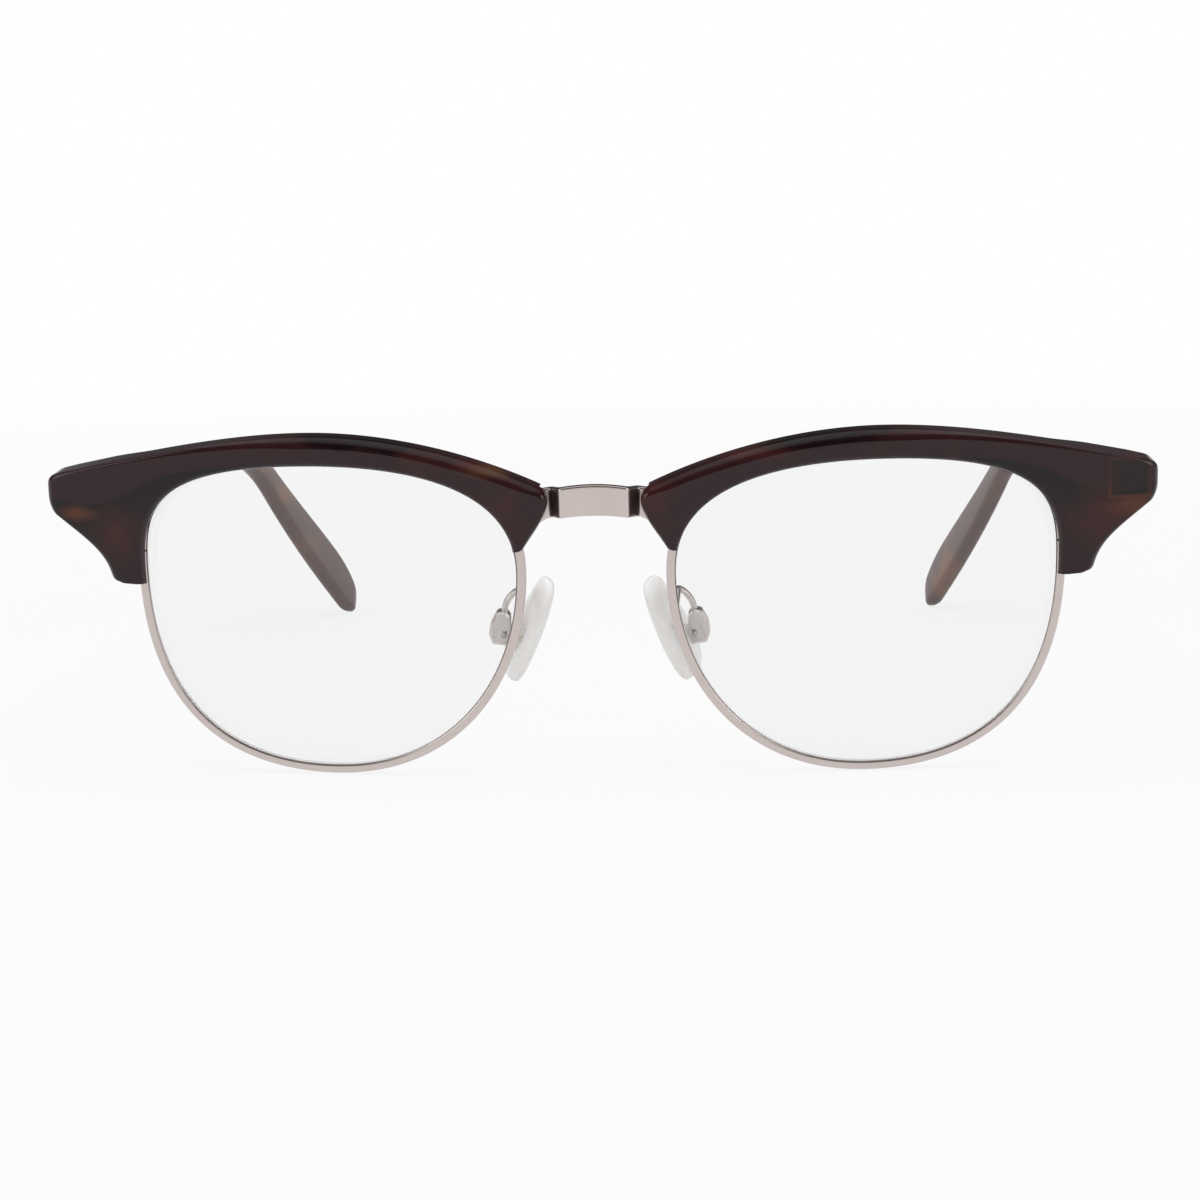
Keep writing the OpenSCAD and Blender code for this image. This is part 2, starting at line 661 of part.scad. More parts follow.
// The pad's stiff core: a plate inside the silicone, and a lug into the box
module insert_shape() {
    pad_frame() cube([0.8, 4, 7], center = true);
    translate(pad_screw_at) rotate([90, 0, 0]) cylinder(r = lug_r, h = lug_t, center = true);
    translate(pad_screw_at + [-lug_reach, -lug_t / 2, -0.5]) cube([lug_reach, lug_t, 1.2]);
}
module pad_insert(s) {
    color([0.9, 0.9, 0.88])
    front_frame(s)
    difference() {
        insert_shape();
        pad_pin(pad_screw_r + run_gap, far);
    }
}
function pad_ring(z) =
    let (f = 2 * z / pad_l, k = sqrt(1 - f * f),
         half_w = pad_w / 2 * pow(k, 0.8) * (1 - 0.12 * f), half_t = pad_t / 2 * pow(k, 0.6))
    [for (i = [0:13])
        let (a = -360 * i / 14) [half_t * cos(a), half_w * sin(a), z]];
module nose_pad(s) {
    levels = [-0.97, -0.86, -0.68, -0.46, -0.22, 0.02, 0.26, 0.5, 0.71, 0.87, 0.97];
    color([0.88, 0.86, 0.83, 0.8])
    front_frame(s)
    difference() {
        pad_frame() loft([for (f = levels) pad_ring(f * pad_l / 2)],
                         first = [0, 0, -pad_l / 2], last = [0, 0, pad_l / 2]);
        insert_shape();
    }
}
arm_t = 2.86;
arm_root = on_wire(edge(arm_t, 0.15), wire_d);
arm_top = [pad_screw_at.x - 2, pad_screw_at.y - 1, pad_screw_at.z + 6];
arm_end = pad_screw_at + [0.1, 0, 2.8];
arm_curves = [
    [arm_root, arm_root + [0, 1.2, 0], arm_top - [0, 1.4, 0], arm_top],
    [arm_top, arm_top + [0, 1.4, 0], arm_end + [0, 0, 2], arm_end]
];
module pad_arm(s) {
    steps = 9;
    rings = [for (c = arm_curves) each
        [for (i = [(c == arm_curves[0] ? 0 : 1):steps])
            wire_ring(bezier(c, i / steps), bezier_dir(c, i / steps), arm_r, 8)]];
    color([0.78, 0.74, 0.72])
    front_frame(s)
    difference() {
        loft(rings);
        box_block();
    }
}

bridge();
rim(1);  // rim_left
rim(-1);  // rim_right
lens(1);  // lens_left
lens(-1);  // lens_right
brow(1);  // brow_left
brow(-1);  // brow_right
brow_screw(1);  // brow_screw_left
brow_screw(-1);  // brow_screw_right
lock_block(1, 1);  // lock_upper_left
lock_block(-1, 1);  // lock_upper_right
lock_block(1, -1);  // lock_lower_left
lock_block(-1, -1);  // lock_lower_right
lock_screw(1);  // lock_screw_left
lock_screw(-1);  // lock_screw_right
front_hinge(1);  // front_hinge_left
front_hinge(-1);  // front_hinge_right
hinge_screw(1);  // hinge_screw_left
hinge_screw(-1);  // hinge_screw_right
temple(1);  // temple_left
temple(-1);  // temple_right
temple_hinge(1);  // temple_hinge_left
temple_hinge(-1);  // temple_hinge_right
core_wire(1);  // core_wire_left
core_wire(-1);  // core_wire_right
pad_arm(1);  // pad_arm_left
pad_arm(-1);  // pad_arm_right
pad_box(1);  // pad_box_left
pad_box(-1);  // pad_box_right
pad_screw(1);  // pad_screw_left
pad_screw(-1);  // pad_screw_right
pad_insert(1);  // pad_insert_left
pad_insert(-1);  // pad_insert_right
nose_pad(1);  // nose_pad_left
nose_pad(-1);  // nose_pad_right
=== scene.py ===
# %% [markdown]
# # Browline glasses
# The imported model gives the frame: where the rims, hinges, temples and pads are, and what moves.
# This script dresses it. Smooth, finely sampled pieces take the place of the faceted solids, and
# every piece gets a finish: glossy tortoise acetate, satin metal, clear lenses, milky silicone.
# Sizes are in millimetres, as a frame maker writes them, and become metres when a mesh is made.

# %% Load the frame
import bmesh
import bpy
import json
from math import asin, cos, floor, pi, radians, sin, sqrt, tan
from mathutils import Matrix, Vector


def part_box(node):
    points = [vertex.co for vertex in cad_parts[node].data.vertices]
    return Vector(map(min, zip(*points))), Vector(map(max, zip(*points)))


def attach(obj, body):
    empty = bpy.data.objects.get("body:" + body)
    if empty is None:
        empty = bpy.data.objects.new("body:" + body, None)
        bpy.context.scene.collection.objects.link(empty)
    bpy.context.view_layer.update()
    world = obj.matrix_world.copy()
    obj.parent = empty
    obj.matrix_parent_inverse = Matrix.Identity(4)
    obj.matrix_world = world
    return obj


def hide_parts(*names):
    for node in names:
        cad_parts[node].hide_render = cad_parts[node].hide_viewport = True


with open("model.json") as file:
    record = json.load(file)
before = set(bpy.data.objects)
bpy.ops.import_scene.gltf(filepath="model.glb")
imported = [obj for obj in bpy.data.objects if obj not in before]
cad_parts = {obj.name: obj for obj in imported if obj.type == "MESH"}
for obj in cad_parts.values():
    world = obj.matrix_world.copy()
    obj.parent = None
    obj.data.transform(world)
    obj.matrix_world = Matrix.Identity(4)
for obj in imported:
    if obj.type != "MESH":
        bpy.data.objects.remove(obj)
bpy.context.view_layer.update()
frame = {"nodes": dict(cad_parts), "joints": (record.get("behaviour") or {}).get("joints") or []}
joints = {joint["name"]: joint for joint in frame["joints"]}
MM = 0.001


def V(*values):
    return Vector(values)


# %% [markdown]
# ## The camera comes first
# Its place was found by laying the part's outline over the photograph: a short tele lens a third
# of a metre in front of the lenses, a little above them and a little to the right. A camera looks
# along its own -Z, so its columns are the picture's right, the picture's up and the way back.

# %% Camera
VIEW_TARGET = V(0.54, -71.79, 24.13) * MM
VIEW_DISTANCE = 330 * MM
VIEW_ELEVATION, VIEW_AZIMUTH, VIEW_ROLL = radians(8.98), radians(3.15), radians(-1.09)
FOCAL_LENGTH, SENSOR_WIDTH = 75.55, 36
CLIP_START = 0.01

backward = V(sin(VIEW_AZIMUTH) * cos(VIEW_ELEVATION), -cos(VIEW_AZIMUTH) * cos(VIEW_ELEVATION),
             sin(VIEW_ELEVATION))
level_right = (-backward).cross(V(0, 0, 1)).normalized()
level_up = level_right.cross(-backward)
picture_right = level_right * cos(VIEW_ROLL) + level_up * sin(VIEW_ROLL)
picture_up = level_up * cos(VIEW_ROLL) - level_right * sin(VIEW_ROLL)
camera = bpy.data.objects.new("camera", bpy.data.cameras.new("camera"))
bpy.context.scene.collection.objects.link(camera)
axes = Matrix((picture_right, picture_up, backward)).transposed()
camera.matrix_world = Matrix.Translation(VIEW_TARGET + backward * VIEW_DISTANCE) @ axes.to_4x4()
camera.data.lens = FOCAL_LENGTH
camera.data.sensor_width = SENSOR_WIDTH
camera.data.clip_start = CLIP_START
bpy.context.scene.camera = camera
bpy.context.scene.view_settings.view_transform = "Standard"
print("camera at", [round(v, 4) for v in camera.matrix_world.translation])

# %% [markdown]
# ## The sizes that drive the front
# These repeat the part's own driving sizes, so that the smooth pieces follow the same formulas as
# the solids that they stand for. What can be read from the frame is read there: the joints in the
# record say where the pads and the temples turn, and how far the front and the temples lean.

# %% Sizes
LENS_W, LENS_H, LENS_GAP, LENS_T, LENS_BASE_R = 51, 42, 20, 1.8, 132
WIRE_WALL, GROOVE_DEPTH, GROOVE_W, WIRE_D, LOCK_SLIT = 0.75, 0.45, 1, 2, 0.3
FRONT_R = 370
BROW_T, BROW_END_T, BROW_RISE, LIP_T, BROW_ROUND = 4.2, 5.5, 3.5, 1.35, 0.9
BROW_GAP, BROW_REACH, FOOT_W, FOOT_Z = 12.2, 12.8, 4.4, 4.5
BRIDGE_H, BRIDGE_T, BRIDGE_Z = 4.1, 1.2, 16
HINGE_Z, KNUCKLE_R, LEAF_H = 15.9, 1.05, 3.8
TEMPLE_LEN, BEND_AT, BEND_ANGLE, BEND_R = 145, 92, radians(43), 24
TEMPLE_H, TEMPLE_WAIST, PADDLE_H, TEMPLE_T, TIP_T = 6, 3.8, 6.6, 3.9, 2.9
TEMPLE_TOE, TIP_IN = radians(1.4), 12
PAD_L, PAD_W, PAD_T, PAD_LEAN, PAD_SPLAY = 15.5, 8, 2.5, radians(22.5), radians(20)
ARM_R, PAD_SCREW_R = 0.42, 0.45
SEAT_GAP, RUN_GAP = 0.04, 0.05

lens_x = (LENS_W + LENS_GAP) / 2
end_x = lens_x + LENS_W / 2 + BROW_REACH
pad_screw_at = V(lens_x - LENS_W / 2 + 2.7, 8, -3.4)
pad_at = pad_screw_at + V(-3, 1.2, -0.3)

FRONT_TILT = asin(joints["pad_left_rock"]["axis"][2])
TEMPLE_SLOPE = asin(joints["temple_left_fold"]["axis"][1])
fold_pivot = Vector(joints["temple_left_fold"]["pos_m"]) / MM
lean = Matrix.Rotation(FRONT_TILT, 3, "X")
slope = Matrix.Rotation(-TEMPLE_SLOPE, 3, "X")
front_datum = Vector(joints["pad_left_rock"]["pos_m"]) / MM - lean @ pad_screw_at
print("front datum", [round(v, 3) for v in front_datum], "temple slope", round(TEMPLE_SLOPE, 4))


def on_front(p):
    """A point of the front, [across, depth, height above the lens centres], in the row's frame."""
    return front_datum + lean @ Vector(p)


def on_temple(p):
    """A point of the left temple, whose frame starts at the hinge, in the row's frame."""
    return fold_pivot + slope @ Vector(p)


# %% [markdown]
# ## Curves and lofts
# Most of a pair of glasses is a section carried along a curve, so a few helpers do most of the
# work: a cubic curve, a smooth blend, a rounded edge, and a loft that joins rings of points into
# one closed skin. A mesh is made once, for the wearer's left side. The right side is its mirror
# image with its faces turned round, because a plain mirror would leave them looking inwards.

# %% Curve helpers


def lerp(a, b, f):
    return a + (b - a) * f


def ease(f, start=0, end=1):
    """Goes smoothly from 0 at the start to 1 at the end, and stays there."""
    c = min(max((f - start) / (end - start), 0), 1)
    return c * c * (3 - 2 * c)


def bezier(p, t):
    s = 1 - t
    return p[0] * s ** 3 + p[1] * (3 * s * s * t) + p[2] * (3 * s * t * t) + p[3] * t ** 3


def bezier_dir(p, t):
    s = 1 - t
    return (p[1] - p[0]) * (s * s) + (p[2] - p[1]) * (2 * s * t) + (p[3] - p[2]) * (t * t)


def rounding(steps):
    """Steps round an edge of radius 1: how far in from the side, and how far below the face."""
    return [(1 - cos(pi / 2 * i / steps), 1 - sin(pi / 2 * i / steps)) for i in range(steps + 1)]


# %% Mesh helpers
SHARP_ANGLE = radians(38)
FLAT_ANGLE = radians(1)


def new_mesh(name, points, faces=()):
    """A mesh from points in metres and faces that count them."""
    mesh = bpy.data.meshes.new(name)
    mesh.from_pydata([tuple(p) for p in points], [], faces)
    return mesh


def new_object(name, data, material=None):
    obj = bpy.data.objects.new(name, data)
    bpy.context.scene.collection.objects.link(obj)
    if material is not None:
        data.materials.clear()
        data.materials.append(material)
    return obj


def finish_mesh(mesh, sharp=SHARP_ANGLE, merge=1e-7, join_flat=False):
    """Merges doubled points, turns every face outwards and shades it smooth between sharp edges."""
    bm = bmesh.new()
    bm.from_mesh(mesh)
    bmesh.ops.remove_doubles(bm, verts=bm.verts, dist=merge)
    if join_flat:
        bmesh.ops.dissolve_limit(bm, angle_limit=FLAT_ANGLE, verts=bm.verts, edges=bm.edges)
    bmesh.ops.recalc_face_normals(bm, faces=bm.faces)
    bm.to_mesh(mesh)
    bm.free()
    mesh.shade_smooth()
    mesh.set_sharp_from_angle(angle=sharp)
    return mesh


def loft(rings, place):
    """A closed skin through rings of points in millimetres, each put in its place by a function."""
    count = len(rings[0])
    faces = []
    for a in range(0, (len(rings) - 1) * count, count):
        for j in range(count):
            k = (j + 1) % count
            faces.append((a + j, a + k, a + count + k, a + count + j))
    faces.append(tuple(range(count))[::-1])
    faces.append(tuple(range((len(rings) - 1) * count, len(rings) * count)))
    return finish_mesh(new_mesh("loft", [place(p) * MM for ring in rings for p in ring], faces))


def box_mesh(low, high, place):
    """A box between two corners in millimetres, in the frame that place() belongs to."""
    corners = [(x, y, z) for x in (low[0], high[0]) for y in (low[1], high[1]) for z in (low[2], high[2])]
    faces = [(0, 1, 3, 2), (4, 6, 7, 5), (0, 4, 5, 1), (2, 3, 7, 6), (0, 2, 6, 4), (1, 5, 7, 3)]
    return finish_mesh(new_mesh("box", [place(c) * MM for c in corners], faces))


def mirrored(mesh):
    """The same mesh on the wearer's right, with its faces turned to look outwards again."""
    other = mesh.copy()
    other.transform(Matrix.Diagonal((-1, 1, 1, 1)))
    other.flip_normals()
    return other


def applied(obj, name):
    """The object's mesh with its modifiers in it. The object itself is thrown away."""
    bpy.context.view_layer.update()
    evaluated = obj.evaluated_get(bpy.context.evaluated_depsgraph_get())
    mesh = bpy.data.meshes.new_from_object(evaluated)
    mesh.name = name
    bpy.data.objects.remove(obj)
    return mesh


def cut(mesh, cutters):
    """Takes each cutter's mesh out of a mesh with an exact boolean."""
    work = new_object("work", mesh)
    tools = [new_object("cutter", cutter) for cutter in cutters]
    for tool in tools:
        modifier = work.modifiers.new("cut", "BOOLEAN")
        modifier.operation = "DIFFERENCE"
        modifier.solver = "EXACT"
        modifier.object = tool
    result = applied(work, "cut")
    for tool in tools:
        bpy.data.objects.remove(tool)
    return finish_mesh(result)


def dress(name, mesh, material, body, node):
    """Puts a finished mesh in the scene in place of a node, riding on its body."""
    piece = new_object(name, mesh, material)
    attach(piece, body)
    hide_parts(node)
    return piece


def pair(name, mesh, material, body, node):
    """Dresses both sides with a left mesh and its mirror image. A body may have one for each side."""
    made = []
    for side, part in (("left", mesh), ("right", mirrored(mesh))):
        made.append(dress(name + "." + side, part, material, body.format(side=side), node + "_" + side))
    print(name, len(mesh.polygons), "faces on each side")
    return made


# %% [markdown]
# ## A short way to write node trees
# Shader trees and Geometry Nodes trees are built the same way: add a node, set its options, and
# fill each input from a value or from another node's output. A small class wraps a tree and does
# that in one line. Its other words are the steps that most trees here need.

# %% Node helper
FLOAT, COLOR, VECTOR = "NodeSocketFloat", "NodeSocketColor", "NodeSocketVector"
GEOMETRY, MATERIAL, INTEGER = "NodeSocketGeometry", "NodeSocketMaterial", "NodeSocketInt"


class Tree:
    """A node tree. Its steps for numbers, vectors and colours give back one output."""

    def __init__(self, tree, end):
        self.tree = tree
        self.end = end

    def fill(self, node, values):
        """Fills inputs. An output is linked, and so is each output of a list."""
        for key, value in values.items():
            if isinstance(value, list):
                for socket in value:
                    self.tree.links.new(socket, node.inputs[key])
            elif isinstance(value, bpy.types.NodeSocket):
                self.tree.links.new(value, node.inputs[key])
            else:
                node.inputs[key].default_value = value

    def node(self, kind, inputs=None, **options):
        """Adds a node. Its options come first, because they decide which inputs it shows."""
        node = self.tree.nodes.new(kind)
        for key, value in options.items():
            setattr(node, key, value)
        self.fill(node, inputs or {})
        return node

    def put(self, kind, inputs=None, **options):
        """Adds a node and gives back its outputs."""
        return self.node(kind, inputs, **options).outputs

    def number(self, operation, a, b=0.0, clamp=False):
        return self.put("ShaderNodeMath", {0: a, 1: b}, operation=operation, use_clamp=clamp)[0]

    def plus(self, a, b, clamp=False):
        return self.number("ADD", a, b, clamp)

    def minus(self, a, b, clamp=False):
        return self.number("SUBTRACT", a, b, clamp)

    def times(self, a, b):
        return self.number("MULTIPLY", a, b)

    def over(self, a, b):
        return self.number("DIVIDE", a, b)

    def vector(self, operation, a, b):
        return self.put("ShaderNodeVectorMath", {0: a, 1: b}, operation=operation)[0]

    def length(self, a):
        return self.put("ShaderNodeVectorMath", {0: a}, operation="LENGTH")["Value"]

    def join(self, x=0.0, y=0.0, z=0.0):
        return self.put("ShaderNodeCombineXYZ", {0: x, 1: y, 2: z})[0]

    def split(self, a):
        return self.put("ShaderNodeSeparateXYZ", {0: a})

    def remap(self, value, low, high, to_low=0.0, to_high=1.0, curve="LINEAR"):
        return self.put("ShaderNodeMapRange", {
            "Value": value, "From Min": low, "From Max": high, "To Min": to_low, "To Max": to_high},
            interpolation_type=curve)[0]

    def noise(self, where, scale, detail, output="Fac", **more):
        return self.put("ShaderNodeTexNoise", {
            "Vector": where, "Scale": scale, "Detail": detail, **more})[output]

    def blend(self, mask, under, over):
        """Lays one colour over another where the mask is white."""
        return self.put("ShaderNodeMix", {0: mask, 6: under, 7: over}, data_type="RGBA")[2]

    def mix_shaders(self, mask, under, over):
        return self.put("ShaderNodeMixShader", {0: mask, 1: under, 2: over})[0]


def new_group(name, kind, inputs, outputs):
    """A node group with named inputs and outputs, and the sockets that its inputs arrive at."""
    tree = bpy.data.node_groups.new(name, kind)
    for title, socket, value in inputs:
        made = tree.interface.new_socket(title, in_out="INPUT", socket_type=socket)
        if value is not None:
            made.default_value = value
    for title, socket in outputs:
        tree.interface.new_socket(title, in_out="OUTPUT", socket_type=socket)
    group = Tree(tree, tree.nodes.new("NodeGroupOutput"))
    return group, group.put("NodeGroupInput")


# %% [markdown]
# ## Tortoise acetate as a shader group
# Tortoise sheet is pressed from coloured chips, so it has soft-edged patches of amber and maroon
# in a nearly black brown. The group makes that from two noises: one is bent by the other, and its
# high places become the patches. Its highest places become the heart of each patch. The brows and
# the temples use the same group with their own colours.

# %% Tortoise group
tortoise, given = new_group("tortoise", "ShaderNodeTree", [
    ("Vector", VECTOR, None), ("Patch size", FLOAT, 0.012), ("Amount", FLOAT, 0.5),
    ("Ground", COLOR, (0.01, 0.005, 0.005, 1)), ("Patch", COLOR, (0.06, 0.015, 0.008, 1)),
    ("Heart", COLOR, (0.2, 0.06, 0.015, 1))], [("Color", COLOR), ("Mask", FLOAT)])
# A patch starts where the noise passes this level, which falls as the amount grows
PATCH_LEVEL, AMOUNT_SHARE = 0.72, 0.4
PATCH_SOFT, HEART_FROM, HEART_TO = 0.12, 0.06, 0.2

frequency = tortoise.over(1.0, given["Patch size"])
swirl = tortoise.noise(given["Vector"], frequency, 2.0, output="Color")
shift = tortoise.vector("SUBTRACT", swirl, (0.5, 0.5, 0.5))
amount = tortoise.put("ShaderNodeVectorMath", {0: shift, 3: given["Patch size"]}, operation="SCALE")[0]
warped = tortoise.vector("ADD", given["Vector"], amount)
patches = tortoise.noise(warped, frequency, 3.0, Roughness=0.55)
edge_low = tortoise.minus(PATCH_LEVEL, tortoise.times(given["Amount"], AMOUNT_SHARE))
patch = tortoise.remap(patches, edge_low, tortoise.plus(edge_low, PATCH_SOFT), curve="SMOOTHSTEP")
heart = tortoise.remap(patches, tortoise.plus(edge_low, HEART_FROM), tortoise.plus(edge_low, HEART_TO),
                       curve="SMOOTHSTEP")
with_patch = tortoise.blend(patch, given["Ground"], given["Patch"])
tortoise.fill(tortoise.end, {"Color": tortoise.blend(heart, with_patch, given["Heart"]), "Mask": patch})
print("group", tortoise.tree.name, [s.name for s in tortoise.tree.interface.items_tree])

# %% [markdown]
# ## Fine marks that every surface shares
# Nothing that is handled is perfectly even. This group gives a slow change of roughness, as left
# by polishing and fingers, and fine specks. Its height is meant for a Bump node with a distance
# of a few hundredths of a millimetre, so that it changes the gloss and not the shape.

# %% Handling group
handling, given = new_group("handling", "ShaderNodeTree", [
    ("Vector", VECTOR, None), ("Size", FLOAT, 0.004), ("Roughness", FLOAT, 0.2), ("Spread", FLOAT, 0.1)],
    [("Roughness", FLOAT), ("Height", FLOAT)])
SPECKS_FINER = 9.0
SLOW_SHARE, FINE_SHARE = 0.7, 0.3

slow = handling.noise(given["Vector"], handling.over(1.0, given["Size"]), 4.0)
fine = handling.noise(given["Vector"], handling.over(SPECKS_FINER, given["Size"]), 2.0)
both = handling.plus(handling.times(slow, SLOW_SHARE), handling.times(fine, FINE_SHARE))
swing = handling.times(handling.minus(both, 0.5), given["Spread"])
handling.fill(handling.end, {"Roughness": handling.plus(given["Roughness"], swing, clamp=True),
                             "Height": both})
print("group", handling.tree.name)

# %% [markdown]
# ## Satin grain for the metal
# The metal is brushed lightly and then plated, which leaves fine lines that run one way. Noise
# stretched along that way makes them: it changes quickly across the lines and slowly along them.

# %% Satin grain group
grain, given = new_group("satin_grain", "ShaderNodeTree", [
    ("Vector", VECTOR, None), ("Line width", FLOAT, 0.00012), ("Stretch", FLOAT, 14.0),
    ("Roughness", FLOAT, 0.3), ("Spread", FLOAT, 0.12)], [("Roughness", FLOAT), ("Height", FLOAT)])
CLOUD_SCALE, LINE_SHARE, CLOUD_SHARE = 400.0, 0.6, 0.4

squeezed = grain.vector("MULTIPLY", given["Vector"], grain.join(grain.over(1.0, given["Stretch"]), 1.0, 1.0))
lines = grain.noise(squeezed, grain.over(1.0, given["Line width"]), 3.0)
cloud = grain.noise(given["Vector"], CLOUD_SCALE, 2.0)
mixed = grain.plus(grain.times(lines, LINE_SHARE), grain.times(cloud, CLOUD_SHARE))
swing = grain.times(grain.minus(mixed, 0.5), given["Spread"])
grain.fill(grain.end, {"Roughness": grain.plus(given["Roughness"], swing, clamp=True), "Height": lines})
print("group", grain.tree.name)

# %% [markdown]
# ## Materials
# Each finish is one Principled shader. The groups feed only its colour, roughness and bump, and
# what is the same all over is set on the shader's own input. Colours are linear, so they look
# darker as numbers than they do in the picture.

# %% Material helper


class Finish(Tree):
    """A new material with its Principled shader and the object's own coordinates."""

    def __init__(self, name):
        self.material = bpy.data.materials.new(name)
        self.material.use_nodes = True
        tree = self.material.node_tree
        super().__init__(tree, tree.nodes["Material Output"])
        self.shader = tree.nodes["Principled BSDF"]
        self.place = self.put("ShaderNodeTexCoord")["Object"]

    def set(self, values):
        """Fills inputs of the Principled shader."""
        self.fill(self.shader, values)

    def use(self, group, inputs):
        """Places a shared group, on the object's coordinates unless it is given others."""
        return self.put("ShaderNodeGroup", {"Vector": self.place, **inputs}, node_tree=group.tree)

    def bump(self, height, distance, strength):
        made = self.put("ShaderNodeBump", {"Height": height, "Distance": distance, "Strength": strength})
        self.set({"Normal": made[0]})

    def handle(self, size, roughness, spread):
        """Gives the surface the marks of handling in its roughness."""
        marks = self.use(handling, {"Size": size, "Roughness": roughness, "Spread": spread})
        self.set({"Roughness": marks["Roughness"]})
        return marks["Height"]


# %% [markdown]
# ## Acetate for the brows
# The brows are polished until they shine like glass, so the gloss is sharp. They look nearly
# black: almost all the light that leaves them is reflected. Below a wavy line low on the face the
# colour is darkened: that is painted shade, standing in for a dark reflection. Two wide, thin dark
# spots along the upper edge near the bridge are painted shade too. A few patches glow amber and
# maroon, placed here as soft spots at real places on the front, and the hinge plate that is sunk
# into one end shows through as a darker rectangle with an amber outline. The upper side of the
# outer half is painted a little lighter and greyer: a painted reflection.

# %% Masks for the brows
PLATE_SOFT = 0.2
SPOT_DEPTH = 6


def face_depth(x):
    """Depth of the brows' front at a distance from the middle."""
    return x * x / (2 * FRONT_R)


def spot_mask(finish, face, centre, wide, high, soft, wobble):
    """A soft ellipsoid round a place, with an uneven rim: 1 inside, 0 outside. Sizes are in mm."""
    away = finish.vector("SUBTRACT", face, tuple(centre * MM))
    scaled = finish.vector("MULTIPLY", away, tuple(1 / (r * MM) for r in (wide, SPOT_DEPTH, high)))
    return finish.remap(finish.plus(finish.length(scaled), wobble), 1.0 + soft, 1.0 - soft)


def plate_mask(finish, face, centre, half, grow):
    """An upright rectangle with soft edges. Its half width and height and its growth are in mm."""
    away = finish.split(finish.vector("SUBTRACT", face, tuple(centre * MM)))
    masks = []
    for axis, size in (("X", half[0]), ("Z", half[1])):
        across = finish.number("ABSOLUTE", away[axis])
        masks.append(finish.remap(across, (size + grow + PLATE_SOFT) * MM, (size + grow - PLATE_SOFT) * MM))
    return finish.times(masks[0], masks[1])


# %% Colours and places of the brows' pattern, painted shade and painted reflection
AMBER = (0.125, 0.036, 0.012, 1)
MAROON = (0.060, 0.012, 0.010, 1)
# A dark colour, used for painted shade and for the hinge plate seen through the sheet
SHADE_AND_PLATE_TONE = (0.0045, 0.0024, 0.0028, 1)
HONEY = (0.075, 0.032, 0.014, 1)
# Painted reflection: a lighter grey for the upper side of the outer half
PAINTED_SHEEN = (0.037, 0.024, 0.026, 1)
# Height of the wavy line under which shade is painted, at some distances from the middle
SHADE_LINE = [(36, 17), (42, 20.6), (50, 20.4), (54, 19.9), (59, 18.5), (63, 16.4), (67.5, 15.2), (74, 15.9)]
SHADE_LINE_REACH, SHADE_LINE_TOP, SHADE_LINE_SOFT, SHADE_LINE_WOBBLE = 80, 30, 0.25, 0.12
# Below the line the painted shade is strongest at the line and weakest this far under it
SHADE_FADE, SHADE_LOW, SHADE_HIGH = 4.5, 0.25, 0.95
# The unevenness of every rim: how fine it is, and how far it reaches as a share of a spot
UNEVEN_SCALE, WOBBLE = 330.0, 1.6
# Spots on the brows: place across and height on the front, half width and half height, all in mm,
# then how soft the rim is, the colour and its strength. The two wide, thin dark spots along the
# upper edge near the bridge are painted shade, a dark reflection; the rest are patches of the sheet
BROW_SPOTS = [
    (-64.0, 11.4, 2.4, 3.0, 0.6, MAROON, 0.55),
    (-69.4, 13.9, 2.0, 0.8, 0.6, AMBER, 0.62),
    (-25.0, 24.6, 16.0, 1.9, 0.2, SHADE_AND_PLATE_TONE, 0.8),
    (-12.0, 21.0, 5.0, 0.8, 0.6, MAROON, 0.5),
    (-13.2, 20.0, 3.0, 0.7, 0.6, HONEY, 0.7),
    (26.0, 24.2, 12.0, 1.8, 0.2, SHADE_AND_PLATE_TONE, 0.8),
    (20.3, 21.8, 4.6, 0.7, 0.6, MAROON, 0.45),
    (46.2, 20.0, 1.4, 0.8, 0.5, HONEY, 0.3),
    (70.6, 13.1, 2.6, 1.1, 0.6, AMBER, 0.6),
    (66.0, 12.0, 3.4, 3.2, 0.6, MAROON, 0.5),
]
# The upper side starts this far behind the face, and the painted reflection comes in over this
# stretch, in mm
TOP_FROM, TOP_TO = 0.3, 0.5
SHEEN_FROM, SHEEN_TO = 38, 50
# The hinge plate sunk in one end: middle, half width and half height, and its outline, in mm. The
# plate's darkness, and the outline's strength below and above
PLATE_AT, PLATE_HALF, PLATE_LINE = V(69.95, 0, 16.9), (2.5, 2.35), 0.35
PLATE_DARK, LINE_BELOW, LINE_ABOVE = 0.4, 0.85, 0.3

# %% Brow acetate
brow = Finish("brow_acetate")
sheet = brow.use(tortoise, {
    "Patch size": 0.011, "Amount": 0.42, "Ground": (0.021, 0.0070, 0.0085, 1),
    "Patch": (0.030, 0.0080, 0.0080, 1), "Heart": (0.040, 0.010, 0.008, 1)})
face = brow.put("ShaderNodeMapping", {"Vector": brow.place, "Location": front_datum * MM,
                                      "Rotation": (FRONT_TILT, 0, 0)}, vector_type="TEXTURE")[0]
uneven = brow.noise(brow.place, UNEVEN_SCALE, 3.0)
wobble = brow.times(brow.minus(uneven, 0.5), WOBBLE)
front_at = brow.split(face)
from_middle = brow.number("ABSOLUTE", front_at["X"])

